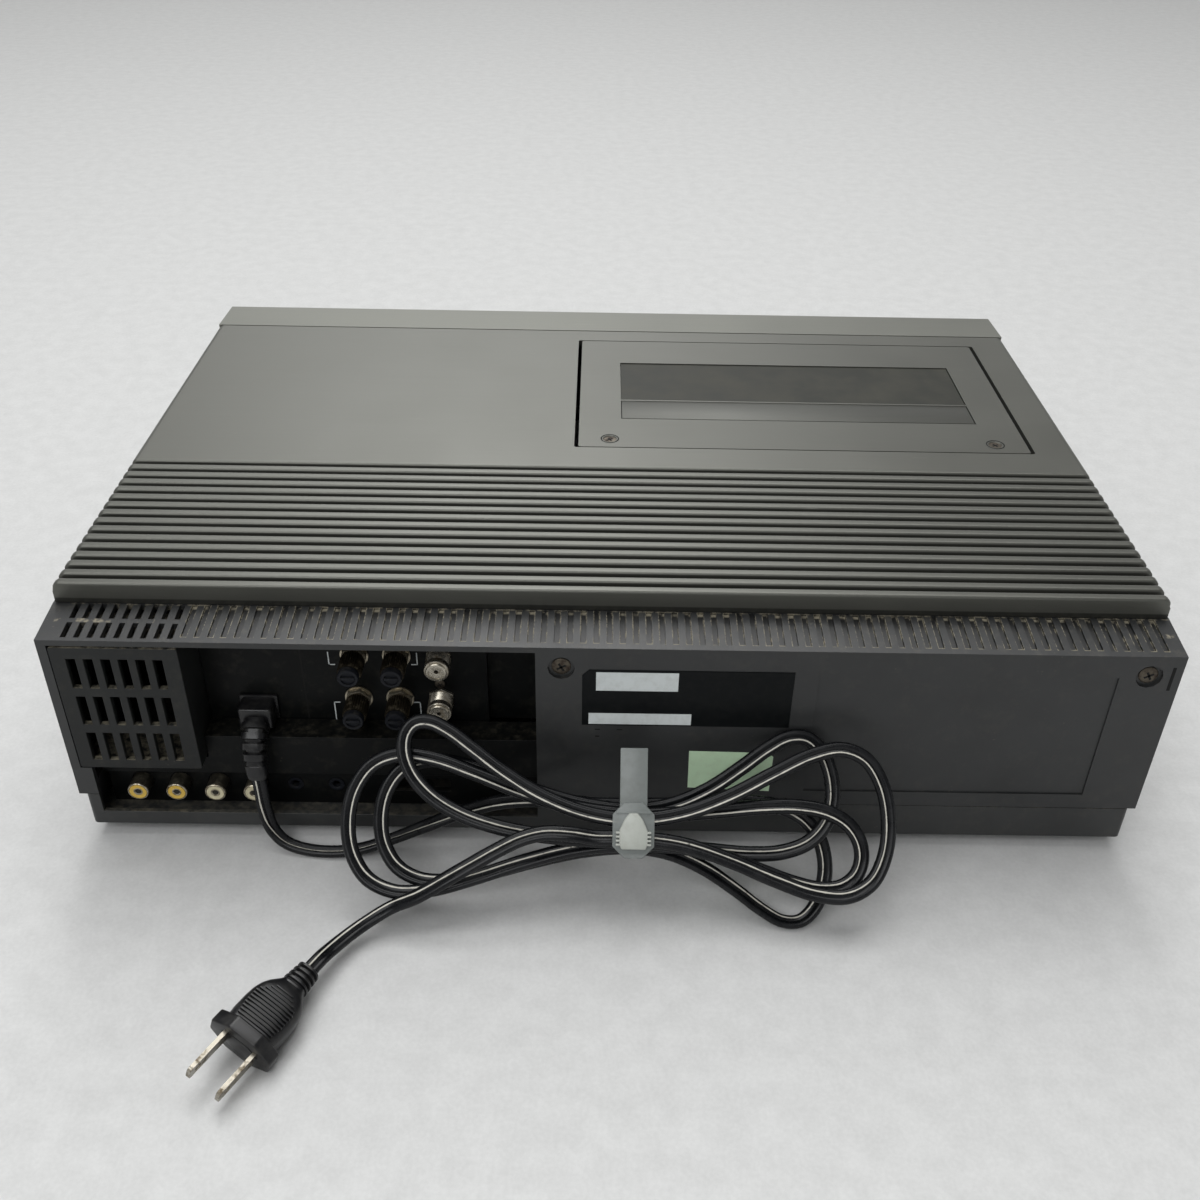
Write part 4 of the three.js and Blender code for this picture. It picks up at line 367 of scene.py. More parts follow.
def plainPaint(name):  # an even finish with faint soiling
    base, rough, spot, shine, alpha = plainLooks[name]
    paint = Paint(name)
    soiled = ranged(paint, noise(paint, 0.004, 6, 0.65), 0.45, 0.8)
    return shaded(
        paint, Base_Color=blended(paint, soiled * 0.6, base, spot), Roughness=soiled * 0.2 + rough,
        Specular_IOR_Level=shine, Alpha=alpha, Normal=bump(paint, noise(paint, 0.0006, 2), 0.00002, 0.4))


paints = {name + "Plastic": plasticPaint(name) for name in plastics}
paints.update({name + "Gunmetal": gunmetalPaint(name) for name in gunmetal})
paints.update({name + "Metal": metalPaint(name) for name in metals})
paints.update({name: plainPaint(name) for name in plainLooks})
paints["pane"] = panePaint()
print("finishes made")

# Pieces of mesh


def meshOf(name, shape):
    mesh = bpy.data.meshes.new(name)
    shape.to_mesh(mesh)
    shape.free()
    return mesh


def newPiece(name, shape, paint, body, angle=35, stands=()):
    mesh = meshOf(name, shape)
    piece = linked(name, mesh)
    for word in paint.split():
        mesh.materials.append(paints[word])
    mesh.polygons.foreach_set("use_smooth", [True] * len(mesh.polygons))
    mesh.set_sharp_from_angle(angle=math.radians(angle))
    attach(piece, body)
    if stands:
        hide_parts(*stands)
    return piece


def together(*shapes):
    whole = bmesh.new()
    for shape in shapes:
        mesh = meshOf("share", shape)
        whole.from_mesh(mesh)
        bpy.data.meshes.remove(mesh)
    return whole


def marked(shape, index):  # the finish of these faces, by its place in the piece's list
    for face in shape.faces:
        face.material_index = index
    return shape


def moved(shape, matrix):
    bmesh.ops.transform(shape, matrix=matrix, verts=shape.verts)
    return shape


def stood(at, toward, turn=0.0):  # takes what is drawn along z to a place in millimetres and a direction
    aim = upWay.rotation_difference(toward).to_matrix().to_4x4()
    return Matrix.Translation(Vector(at) * mm) @ aim @ Matrix.Rotation(turn, 4, "Z")


def breakEdges(shape, width, segments=2, edges=None):  # all edges unless some are given; width in millimetres
    if width:
        bmesh.ops.bevel(
            shape, geom=shape.edges if edges is None else edges, offset=width * mm, affect="EDGES",
            segments=segments, profile=0.5, material=-1)
    return shape


def spun(profile, at=(0, 0, 0), toward=upWay, steps=32, turn=0.0):  # (radius, along) in mm, axis to axis
    shape = bmesh.new()
    corners = [shape.verts.new((radius * mm, 0, along * mm)) for radius, along in profile]
    edges = [shape.edges.new(pair) for pair in zip(corners, corners[1:])]
    bmesh.ops.spin(
        shape, geom=corners + edges, cent=(0, 0, 0), axis=(0, 0, 1), angle=2 * math.pi, steps=steps,
        use_merge=True)
    bmesh.ops.remove_doubles(shape, verts=shape.verts, dist=1e-7)
    bmesh.ops.recalc_face_normals(shape, faces=shape.faces)
    return moved(shape, stood(at, toward, turn))


def boxed(low, high, edge=0.0, segments=2):  # millimetres
    shape = bmesh.new()
    bmesh.ops.create_cube(shape, size=1)
    low, high = Vector(low) * mm, Vector(high) * mm
    moved(shape, Matrix.Translation((low + high) / 2) @ Matrix.Diagonal((*(high - low), 1)))
    return breakEdges(shape, edge, segments)


def prism(points, span, edge=0.0, segments=2):  # an outline on (x, y) drawn out along z, millimetres
    shape = bmesh.new()
    low, high = span
    face = shape.faces.new([shape.verts.new((x * mm, y * mm, low * mm)) for x, y in points])
    drawn = bmesh.ops.extrude_face_region(shape, geom=[face])["geom"]
    raised = [item for item in drawn if isinstance(item, bmesh.types.BMVert)]
    bmesh.ops.translate(shape, vec=(0, 0, (high - low) * mm), verts=raised)
    bmesh.ops.recalc_face_normals(shape, faces=shape.faces)
    return breakEdges(shape, edge, segments)


def cutCorners(wide, high, inward, lower):  # the outline of a rectangle without its corners
    return [
        (-wide, -high + lower), (-wide + inward, -high), (wide - inward, -high), (wide, -high + lower),
        (wide, high - lower), (wide - inward, high), (-wide + inward, high), (-wide, high - lower)]


def squaredBody(stations, power, steps=40):  # (along, half width, half height) in mm, lofted along x
    profile = [(0, stations[0][0]), *((1, row[0]) for row in stations), (0, stations[-1][0])]
    shape = spun(profile, steps=steps)
    for vertex in shape.verts:
        along = vertex.co.z / mm
        reach = math.hypot(vertex.co.x, vertex.co.y) / mm
        here, wide, high = min(stations, key=lambda row: abs(row[0] - along))
        turn = math.atan2(vertex.co.y, vertex.co.x)
        c, s = math.cos(turn), math.sin(turn)
        fit = reach / (abs(c) ** power + abs(s) ** power) ** (1 / power) if reach > 0.5 else 0
        vertex.co = Vector((along, wide * c * fit, high * s * fit)) * mm
    bmesh.ops.recalc_face_normals(shape, faces=shape.faces)
    return shape


# CAD pieces with finer edges

lidCorners = {  # millimetres
    "cassette_lid": {"low": (-193.4, -101.2), "high": (15.5, 20.5), "radius": 4, "kept": 1.2},
    "top_cover": {"low": (-195.3, -101.9), "high": (17.4, 21.2), "radius": 4, "kept": 1.2},
}
ribs = {"from": 38, "above": 106.9, "radius": 1.1, "segments": 4}  # millimetres


def tightened(shape, low, high, radius, kept):  # a rectangle's upright corners go from one radius to another
    share = kept / radius
    for vertex in shape.verts:
        x, y = vertex.co.x / mm, vertex.co.y / mm
        for cornerX, inX in ((low[0], 1), (high[0], -1)):
            for cornerY, inY in ((low[1], 1), (high[1], -1)):
                offX, offY = (x - cornerX) * inX - radius, (y - cornerY) * inY - radius
                if max(offX, offY) < 0.02 and abs(math.hypot(offX, offY) - radius) < 0.05:
                    vertex.co.x = (cornerX + inX * (kept + offX * share)) * mm
                    vertex.co.y = (cornerY + inY * (kept + offY * share)) * mm


def roundedRibs(shape):  # the cover's ribs have rounded backs and ends
    shape.normal_update()
    edges = []
    for edge in shape.edges:
        if len(edge.link_faces) != 2 or not edge.is_convex:
            continue
        flat, upright = sorted(abs(face.normal.y) for face in edge.link_faces)
        low = min(vertex.co.z for vertex in edge.verts)
        onRib = low > ribs["above"] * mm and edge.verts[0].co.y > ribs["from"] * mm
        if onRib and flat < 0.1 and upright > 0.9:
            edges.append(edge)
    breakEdges(shape, ribs["radius"], ribs["segments"], edges)
    print("rib edges rounded:", len(edges))


def softened(node, paint, width, segments=2, angle=30):  # a CAD piece with its edges broken, in millimetres
    shape = bmesh.new()
    shape.from_mesh(frame["nodes"][node].data)
    bmesh.ops.remove_doubles(shape, verts=shape.verts, dist=1e-6)
    if node in lidCorners:
        tightened(shape, **lidCorners[node])
    if node == "top_cover":
        roundedRibs(shape)
    bmesh.ops.dissolve_limit(shape, angle_limit=math.radians(0.5), verts=shape.verts, edges=shape.edges)
    body = frame["nodes"][node]["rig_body"]
    piece = newPiece(node + "_soft", shape, paint, body, stands=(node,))
    edges = piece.modifiers.new("edges", "BEVEL")
    edges.width, edges.segments, edges.limit_method = width * mm, segments, "ANGLE"
    edges.angle_limit, edges.use_clamp_overlap = math.radians(angle), True
    flats = piece.modifiers.new("flats", "WEIGHTED_NORMAL")  # wide faces shade flat beside rounded ones
    flats.mode, flats.weight, flats.keep_sharp = "FACE_AREA", 100, True


# The mains cord: one flat twin lead from the relief through the hank to the plug

lead = {
    "width": 6 * mm, "thickness": 3 * mm, "gap": 0.3 * mm, "step": 1.6 * mm, "inPlug": 3 * mm,
    "plugTwist": 25 * mm, "facet": 30, "valley": 0.5, "stripe": 0.17, "stripeWidth": 0.085,
}
hank = {
    "centre": Vector((-9, 181.85, 30.4)) * mm, "lean": math.radians(39), "layer": 3.6 * mm, "steps": 64,
    "laneInner": 3.4 * mm, "laneStep": 1.5 * mm, "end": 8 * mm, "climbShare": 0.16, "widest": 1.3,
}
leadIn = [
    (141.4, 160.6, 33.3), (141.2, 160.8, 27), (140.6, 162.2, 18), (138.2, 165, 10), (133, 167.5, 4.6),
    (125, 169.2, 2.2), (114, 170.4, 2), (102, 170.4, 3.8), (89, 169.04, 8.2), (75, 167.28, 14.05),
    (60, 166.15, 21.1), (45, 166.43, 27.15), (29, 168.95, 31.38), (14, 172.7, 33.8),
]
leadOut = [
    (15, 193.7, 37.5), (25, 193.6, 37.6), (34, 195.1, 35.8), (43, 197.9, 32.3), (52, 201.2, 28.3),
    (61.5, 204.7, 23.9), (72.4, 207.5, 17.5), (83.4, 208.3, 11.5), (90.8, 211.9, 8.6), (97.6, 217.6, 7.2),
    (103.5, 225.9, 8),
]
loops = [  # side, reach, half width, tilt
    (-1, 78, 16, -17), (1, 98, 19, 2), (-1, 80, 17, 16), (1, 110, 23, 1), (-1, 89, 12, -7), (1, 95, 10.5, 22),
    (-1, 98, 26, 3),
]
plugPlace = {
    "neck": Vector((109, 236.4, 9.25)) * mm, "heading": math.radians(61.2), "roll": math.radians(-20),
}
plugTurn = Matrix.Rotation(plugPlace["heading"], 4, "Z") @ Matrix.Rotation(plugPlace["roll"], 4, "X")
hankUp = Vector((0, -math.sin(hank["lean"]), math.cos(hank["lean"])))
hankOut = Vector((0, math.cos(hank["lean"]), math.sin(hank["lean"])))


def eased(share):
    share = min(max(share, 0), 1)
    return share * share * (3 - 2 * share)


def lane(turn):
    spare = (len(loops) - 1 - turn) / 2 if turn % 2 == 0 else (len(loops) - turn) / 2
    return (1 if turn % 2 == 0 else -1) * (hank["laneInner"] + hank["laneStep"] * spare)


def hankLine():
    points, steps = [], hank["steps"]
    for turn, (side, reach, half, tilt) in enumerate(loops):
        widest = (1 if turn % 2 == 0 else -1) * half * mm * hank["widest"]
        for i in range(0 if turn == 0 else 1, steps + 1):
            t = i / steps
            out = math.sin(math.pi * t)
            crossed = (1 - math.cos(math.pi * t)) / 2
            along = reach * mm * out
            across = widest * math.sin(2 * math.pi * t) * out
            turned = math.radians(tilt) * out
            up = lane(turn) * (1 - crossed) + lane(turn + 1) * crossed
            up += along * math.sin(turned) + across * math.cos(turned)
            climb = eased((1 - t) / hank["climbShare"]) - eased(t / hank["climbShare"])
            layers = turn * hank["layer"] / 2 - hank["layer"] / 4 * climb
            sideways = side * (along * math.cos(turned) - across * math.sin(turned))
            points.append(hank["centre"] + sideWay * sideways + hankUp * up + hankOut * layers)
    return points


def throughPoints(points, spacing):  # centripetal Catmull-Rom curve
    ends = [points[0] * 2 - points[1], *points, points[-1] * 2 - points[-2]]
    line = []
    for stretch in zip(ends, ends[1:], ends[2:], ends[3:]):
        times = [0.0]
        for start, stop in zip(stretch, stretch[1:]):
            times.append(times[-1] + max((stop - start).length, 1e-6) ** 0.5)
        count = max(2, round((stretch[2] - stretch[1]).length / spacing))
        for i in range(count):
            t = times[1] + (times[2] - times[1]) * i / count
            mixed = stretch
            for reach in (1, 2):
                mixed = [
                    start + (stop - start) * ((t - times[j]) / (times[j + reach] - times[j]))
                    for j, (start, stop) in enumerate(zip(mixed, mixed[1:]))]
            line.append(mixed[0] + (mixed[1] - mixed[0]) * ((t - times[1]) / (times[2] - times[1])))
    return [*line, points[-1]]


def cordLine():
    wound = hankLine()
    first, last = wound[0] + sideWay * hank["end"], wound[-1] + sideWay * hank["end"]
    clear = lead["gap"] + lead["width"]
    neck, heading = plugPlace["neck"], plugTurn @ sideWay
    points = [Vector(point) * mm for point in leadIn]
    points += [first + sideWay * clear, first, *wound[::4], last, last + sideWay * clear]
    points += [Vector(point) * mm for point in leadOut]
    points += [neck - heading * clear, neck + heading * lead["inPlug"]]
    return throughPoints(points, lead["step"])


def cordFrames(line):
    frames, run = [], 0.0
    for i, point in enumerate(line):
        before, after = line[max(i - 1, 0)], line[min(i + 1, len(line) - 1)]
        along = (after - before).normalized()
        share = eased((point.z - lead["width"]) / (hank["centre"].z - lead["width"]))
        toPlug = eased(1 - (point - plugPlace["neck"]).length / lead["plugTwist"])
        facing = upWay.lerp(hankOut, share).lerp(plugTurn @ upWay, toPlug)
        side = along.cross(facing).normalized()
        run += (point - line[i - 1]).length if i else 0
        frames.append((point, side, side.cross(along).normalized(), run))
    return frames


def twinSection():  # two round conductors with a shallow valley between them
    radius, points = lead["thickness"] / 2, []
    reach = lead["width"] / 2 - radius
    for sign in (1, -1):
        for degrees in range(-120, 121, lead["facet"]):
            turn = math.radians(degrees)
            points.append((sign * (reach + radius * math.cos(turn)), sign * radius * math.sin(turn)))
        points.append((0, sign * radius * lead["valley"]))
    return points


def ribbon(frames, section):
    shape = bmesh.new()
    wrap = shape.loops.layers.uv.new("cordWrap")
    rings = [
        [shape.verts.new(at + side * a + out * b) for a, b in section] for at, side, out, run in frames]
    count = len(section)
    for i in range(len(rings) - 1):
        for s in range(count):
            e = (s + 1) % count
            face = shape.faces.new((rings[i][s], rings[i][e], rings[i + 1][e], rings[i + 1][s]))
            below = 2 if section[s][1] + section[e][1] < 0 else 0  # the underside has no stripe
            for loop, (row, place) in zip(face.loops, ((i, s), (i, e), (i + 1, e), (i + 1, s))):
                loop[wrap].uv = (section[place][0] / lead["width"] + 0.5 + below, frames[row][3])
    for ring, order in ((rings[0], -1), (rings[-1], 1)):
        shape.faces.new(ring[::order])
    bmesh.ops.recalc_face_normals(shape, faces=shape.faces)
    return shape


vinyl = {
    "fresh": (0.0045, 0.005, 0.006), "rubbed": (0.02, 0.021, 0.023), "stripe": (0.62, 0.6, 0.53),
    "rough": 0.24, "shine": 0.28, "ragged": 0.012, "crumb": 0.0015,
}


def cordPaint():
    paint = Paint("cordVinyl")
    wrap = paint.node("ShaderNodeUVMap", {"uv_map": "cordWrap"})
    across, along = axis(paint, wrap, "X"), axis(paint, wrap, "Y")
    edge, ragged = lead["stripeWidth"] / 2, vinyl["ragged"]
    off = abs(across - (0.5 + lead["stripe"]))
    wander = ranged(paint, noise(paint, 0.004, 3), 0.3, 0.7, -ragged, ragged)
    stripe = ranged(paint, off + wander, edge - ragged, edge + ragged, 1, 0)
    worn = ranged(paint, noise(paint, 0.002, 4, 0.7), 0.62, 0.72, 1, 0.2)
    rubbed = ranged(paint, noise(paint, 0.008, 5, 0.7), 0.42, 0.75)
    body = blended(paint, rubbed * 0.5, vinyl["fresh"], vinyl["rubbed"])
    body = blended(paint, specks(paint, vinyl["crumb"], 0.2) * 0.3, body, dustTone)
    drawn = paint.node("ShaderNodeCombineXYZ", {}, {"X": across * 60, "Y": along * 40})
    return shaded(
        paint, Base_Color=blended(paint, stripe * worn, body, vinyl["stripe"]),
        Roughness=rubbed * 0.18 + vinyl["rough"] + stripe * 0.1, Specular_IOR_Level=vinyl["shine"],
        Normal=bump(paint, noise(paint, 1.0, 2, 0.5, drawn), 0.00004, 0.35))


paints["cord"] = cordPaint()
cordFrame = cordFrames(cordLine())
cordPiece = newPiece(
    "mains_cord", ribbon(cordFrame, twinSection()), "cord", "root", angle=60,
    stands=("cord_lead_in", "cord_hank", "cord_lead_out"))

relief = {  # millimetres; a rib is (along, sunk), root and tail are (along, half width, half height)
    "block": (13.6, 10, 9.6), "x": 142.3, "z": 54.6, "face": 140.3, "brim": 0.9, "brimThick": 1.4,
    "start": (-3.4, -1.5), "bend": (9.4, -3), "rise": 0.6, "power": 3.2, "longest": 1.5,
    "ribs": 4, "firstRib": 5, "pitch": 4.6, "ribSize": (5.4, 4.6), "taper": (1.3, 1.1),
    "rib": [(0, 1.3), (0.3, 0), (2.9, 0), (3.2, 1.3)], "root": (0, 4.9, 4.2),
    "tail": [(24, 3.9, 3.0), (24.3, 4.3, 3.4), (29, 4.2, 3.2), (30, 3.7, 2.6)],
}


def reliefSleeve(start, bend, end):  # a ribbed sleeve on a curve that leans to the bend
    stations = [relief["root"]]
    for i in range(relief["ribs"]):
        at, share = relief["firstRib"] + i * relief["pitch"], i / relief["ribs"]
        wide, high = (size - taper * share for size, taper in zip(relief["ribSize"], relief["taper"]))
        stations += [(at + along, wide - sunk, high - sunk) for along, sunk in relief["rib"]]
    sleeve = squaredBody([*stations, *relief["tail"]], relief["power"], 32)
    limit = relief["longest"] * mm
    long = [edge for edge in sleeve.edges if abs(edge.verts[0].co.x - edge.verts[1].co.x) > limit]
    bmesh.ops.subdivide_edges(sleeve, edges=long, cuts=2)
    for vertex in sleeve.verts:
        share = vertex.co.x / (relief["tail"][-1][0] * mm)
        at = start * (1 - share) ** 2 + bend * 2 * share * (1 - share) + end * share ** 2
        along = ((bend - start) * (1 - share) + (end - bend) * share).normalized()
        outward = sideWay.cross(along).normalized()
        vertex.co = at * mm + sideWay * vertex.co.y + outward * vertex.co.z
    bmesh.ops.recalc_face_normals(sleeve, faces=sleeve.faces)
    return sleeve


def makeRelief():
    (wide, high, deep), brim = relief["block"], relief["brim"]
    x, z, face = relief["x"], relief["z"], relief["face"]
    block = boxed((x - wide / 2, face, z - high / 2), (x + wide / 2, face + deep, z + high / 2), 1.2, 3)
    middle, corner = Vector((x, face, z)), Vector((wide / 2 + brim, 0, high / 2 + brim))
    flange = boxed(middle - corner, middle + corner + rearWay * relief["brimThick"], 0.5)
    start, bend = (Vector((x, face + deep + out, z + up)) for out, up in (relief["start"], relief["bend"]))
    sleeve = reliefSleeve(start, bend, Vector(leadIn[0]) + upWay * relief["rise"])
    newPiece(
        "cord_relief", together(block, flange, sleeve), "plugVinyl", "root",
        stands=("strain_relief",))


plug = {  # millimetres from the neck; a ring's outline is (along, sunk)
    "body": [
        (8.5, 4.7, 4.1), (10, 5.3, 4.5), (11.5, 6.5, 5.1), (13.5, 8.1, 5.7), (16, 9.4, 6.2), (19, 10.2, 6.4),
        (23, 10.5, 6.5), (28, 10.5, 6.5), (32, 10.2, 6.4)],
    "bodyPower": 3.6, "rings": 5, "pitch": 2.25, "ringSize": (4.5, 3.9), "growth": (0.22, 0.2),
    "ring": [(0.05, 0.5), (0.45, 0), (1.2, 0), (1.45, 0.5), (1.6, 1.1), (2.15, 1.1)],
    "ringEnds": [(0, 3.6, 2.6), (13, 4, 3.5)], "ringPower": 2.6,
    "ridges": 12, "ridgeFrom": 14.2, "ridgeStep": 1.42, "ridge": 0.75, "ridgeReach": 8.2, "ridgeTop": 6.4,
    "face": (31.5, 37), "outline": (13, 7.5, 7.5, 4.6), "boss": (0.62, 0.5), "bossSpan": (-0.4, 0.25),
}


def makePlug():
    first, last = plug["ringEnds"]
    stations = [first]
    for i in range(plug["rings"]):
        wide, high = (size + growth * i for size, growth in zip(plug["ringSize"], plug["growth"]))
        stations += [(i * plug["pitch"] + along, wide - sunk, high - sunk) for along, sunk in plug["ring"]]
    outline, (start, end) = cutCorners(*plug["outline"]), plug["face"]
    wideShare, highShare = plug["boss"]
    boss = [(x * wideShare, y * highShare) for x, y in outline]
    alongX = Matrix(((0, 0, 1, 0), (1, 0, 0, 0), (0, 1, 0, 0), (0, 0, 0, 1)))
    shapes = [
        squaredBody(plug["body"], plug["bodyPower"]), squaredBody([*stations, last], plug["ringPower"]),
        moved(prism(outline, (start, end), 0.7, 3), alongX),
        moved(prism(boss, [end + off for off in plug["bossSpan"]], 0.2), alongX)]
    for i in range(plug["ridges"]):
        at = plug["ridgeFrom"] + i * plug["ridgeStep"]
        reach = plug["ridgeReach"] * min(1, 0.45 + 0.16 * i) * (1 - 0.03 * max(i - 8, 0))
        top = plug["ridgeTop"] + 0.6 * min(1, i / 4)
        shapes.append(boxed((at, -reach, -top), (at + plug["ridge"], reach, top), 0.25))
    shape = moved(together(*shapes), Matrix.Translation(plugPlace["neck"]) @ plugTurn)
    newPiece("plug_moulding", shape, "plugVinyl", "root", stands=("plug_body",))


tie = {  # millimetres; rim, tongue and ribs lie on the plate
    "inner": (7.9, -3.1, 13.9), "wall": 1.0, "width": 10.5, "plate": (8, 10.5, 4.5, 4.5), "thick": 1.5,
    "tail": 31, "rim": ((-6.6, 6.3, 1.2), (6.6, 7.3, 2.0)), "tongueSpan": (1.2, 3.4),
    "tongue": [
        (-4.6, -7), (4.6, -7), (5.4, -5), (5.4, 0), (3.4, 4.4), (1.6, 6.6), (-1.6, 6.6), (-3.4, 4.4),
        (-5.4, 0), (-5.4, -5)],
    "ribs": 4, "ribX": (3.7, 6.7), "ribY": (-5.6, -4.8), "ribZ": (1.2, 3.2), "ribPitch": 1.5,
}


def makeTie():
    up, back, front = tie["inner"]
    wall, half = tie["wall"], tie["width"] / 2
    face = front + wall
    walls = [  # low and high (y, z) of the band's four walls
        ((up, back - wall), (up + wall, face)), ((-up - wall, back - wall), (-up, face)),
        ((-up - wall, back - wall), (up + wall, back)), ((-up - wall, front), (tie["tail"], face))]
    strap = [boxed((-half, *low), (half, *high), 0.35) for low, high in walls]
    strap.append(prism(cutCorners(*tie["plate"]), (face - 0.3, face + tie["thick"]), 0.4))
    strap.append(boxed(*(Vector(corner) + upWay * face for corner in tie["rim"]), 0.25))
    raised = [prism(tie["tongue"], [face + off for off in tie["tongueSpan"]], 0.6, 3)]
    for side in (-1, 1):
        x0, x1 = sorted(side * x for x in tie["ribX"])
        for i in range(tie["ribs"]):
            y0, y1 = (y + i * tie["ribPitch"] for y in tie["ribY"])
            z0, z1 = (face + z for z in tie["ribZ"])
            raised.append(boxed((x0, y0, z0), (x1, y1, z1), 0.2))
    lean = Matrix((-sideWay, hankUp, hankOut)).transposed().to_4x4()
    lean.translation = hank["centre"]
    shape = moved(together(marked(together(*strap), 0), marked(together(*raised), 1)), lean)
    newPiece("cord_tie_strap", shape, "tieMilky tieWhite", "root", stands=("cord_tie",))


makeRelief()
makePlug()
makeTie()
print("relief, plug and tie made")

# Connectors of the rear bay; outlines are (radius, along) in millimetres

terminal = {
    "x": {"left": 101.7, "right": 85}, "z": {"upper": 81, "lower": 59.5}, "face": 140.3,
    "knurls": 30, "knurlFrom": 4.5, "knurlDepth": 0.09,
    "washer": [(0, 0), (5.6, 0), (5.6, 0.7), (0, 0.7)],
    "nut": [(0, 0.6), (5.3, 0.6), (5.5, 0.9), (5.5, 2.6), (5.1, 3.1), (0, 3.1)],
    "grip": [(0, 2.8), (4.0, 2.8), (4.0, 3.6), (4.8, 3.9), (4.8, 12.1), (4.3, 12.6), (3.8, 12.6), (0, 12.6)],
    "cap": [
        (0, 12.4), (3.7, 12.4), (3.7, 13.0), (4.2, 13.2), (4.2, 15.2), (3.9, 15.7), (2.9, 15.7), (2.9, 15.0),
        (0, 15.0)],
    "blade": ((-2.7, 14.6, -0.6), (2.7, 15.9, 0.6)),
}


def knurledGrip(at):
    grip = spun(terminal["grip"], at, rearWay, 2 * terminal["knurls"])
    for vertex in grip.verts:
        flat = vertex.co - Vector(at) * mm
        flat.y = 0
        knurl = round(math.atan2(flat.z, flat.x) / (math.pi / terminal["knurls"]))
        if flat.length > terminal["knurlFrom"] * mm and knurl % 2:
            vertex.co -= flat * terminal["knurlDepth"]
    return grip


def makeTerminals():
    for column, x in terminal["x"].items():
        for row, z in terminal["z"].items():
            at = (x, terminal["face"], z)
            seat = together(spun(terminal["washer"], at, rearWay), spun(terminal["nut"], at, rearWay, 6, 0.3))
            blade = boxed(*(Vector(corner) + Vector(at) for corner in terminal["blade"]), 0.15)
            cap = together(spun(terminal["cap"], at, rearWay), blade)
            newPiece(
                f"screw_terminal_{row}_{column}",
                together(marked(seat, 0), marked(knurledGrip(at), 1), marked(cap, 2)),
                "nickelMetal gripMetal terminalPlastic", "root",
                stands=(f"antenna_terminal_{row}_{column}",))


aerial = {
    "x": 68.3, "z": {"upper": 80.4, "lower": 59.4}, "face": 140.0,
    "nut": [(0, 0.2), (5.6, 0.2), (5.6, 1.4), (5.3, 1.7), (0, 1.7)], "seat": [(0, 1.5), (4.75, 1.5)],
    "threads": 9, "thread": [(4.95, 2.1), (4.72, 2.38)], "pitch": 0.55,
    "mouth": [
        (4.95, 7.3), (4.95, 9.5), (4.7, 9.8), (4.1, 9.85), (4.1, 10.35), (3.85, 10.6), (3.2, 10.6),
        (3.1, 10.2), (0.9, 10.1), (0.9, 6), (0, 6)],
}


def makeAerials():
    profile = [*aerial["seat"]]
    for i in range(aerial["threads"]):
        profile += [(radius, along + i * aerial["pitch"]) for radius, along in aerial["thread"]]
    profile += aerial["mouth"]
    for row, z in aerial["z"].items():
        at = (aerial["x"], aerial["face"], z)
        shape = together(spun(aerial["nut"], at, rearWay, 6, 0.5), spun(profile, at, rearWay, 40))
        newPiece("coax_connector_" + row, shape, "platedMetal", "root")


jacks = {
    "x": (194, 178.1, 162.2, 146.3), "z": 20, "face": 148.5, "yellow": 2,
    "base": ((138.3, 135.7, 11.6), (202, 145.7, 28.4)),
    "sleeve": [(0, -4), (4.2, -4), (4.2, 6.6), (3.95, 6.9), (3.5, 6.9), (0, 6.9)],
    "rim": [(0, 6.2), (4.28, 6.2), (4.28, 6.95), (4.05, 7.2), (3.75, 7.2), (3.7, 6.8), (0, 6.8)],
    "ring": [(0, 6.5), (3.6, 6.5), (3.5, 7.25), (1.75, 7.0), (1.7, 4), (0, 4)],
    "contact": [(0, 6.3), (1.72, 6.3), (1.9, 7.1), (1.6, 7.15), (1.25, 6.9), (1.25, 3.5), (0, 3.5)],
    "mini": (130.4, 113.4), "miniZ": 19.5,
    "miniRing": [
        (1.7, -2), (2.35, -2), (2.35, 0.1), (3.3, 0.1), (3.2, 0.55), (2.2, 0.6), (1.7, 0.3), (1.7, -2)],
}


def makeJacks():
    shapes = [marked(boxed(*jacks["base"], 0.4), 0)]
    for i, x in enumerate(jacks["x"]):
        insulator = 2 if i < jacks["yellow"] else 3
        turned = (("sleeve", 36, 0), ("rim", 36, 1), ("ring", 36, insulator), ("contact", 24, 1))
        for word, steps, index in turned:
            shapes.append(marked(spun(jacks[word], (x, jacks["face"], jacks["z"]), rearWay, steps), index))
    newPiece(
        "phono_jacks", together(*shapes), "jackPlastic nickelMetal jackYellow jackCream", "root",
        stands=("phono_jack_block",))
    for i, x in enumerate(jacks["mini"]):
        ring = spun(jacks["miniRing"], (x, jacks["face"], jacks["miniZ"]), rearWay, 28)
        newPiece(f"mini_jack_{i + 1}", ring, "terminalPlastic", "root")


screws = {  # place, radius, kind of head
    "case_screw_left": ((19.3, 158.6, 91), 3.7, "domed"),
    "case_screw_right": ((-203.7, 158.6, 91), 3.7, "domed"),
    "panel_screw": ((68.6, 140.1, 66.8), 2.1, "domed"),
    "lid_screw_left": ((0.95, 12.4, 111.6), 3.1, "sunk"),
    "lid_screw_right": ((-178.85, 12.4, 111.6), 3.1, "sunk"),
}
screwHeads = {  # share of the radius, along in millimetres
    "domed": [
        (0, -1.5), (0.45, -1.5), (0.45, -0.2), (1, -0.2), (1, 0.315), (0.86, 0.675), (0.6, 0.9), (0, 0.9)],
    "sunk": [(0, -1.6), (0.5, -1.6), (1, -0.15), (1, 0), (0, 0)],
}
cross = {"turn": 0.5, "length": 0.52, "width": 0.12, "sunk": 0.5, "proud": 0.04}
countersink = [(3.2, -0.3), (4.1, 0.42), (4.3, 0.5), (4.0, 0.56), (3.2, 0.1), (3.2, -0.3)]


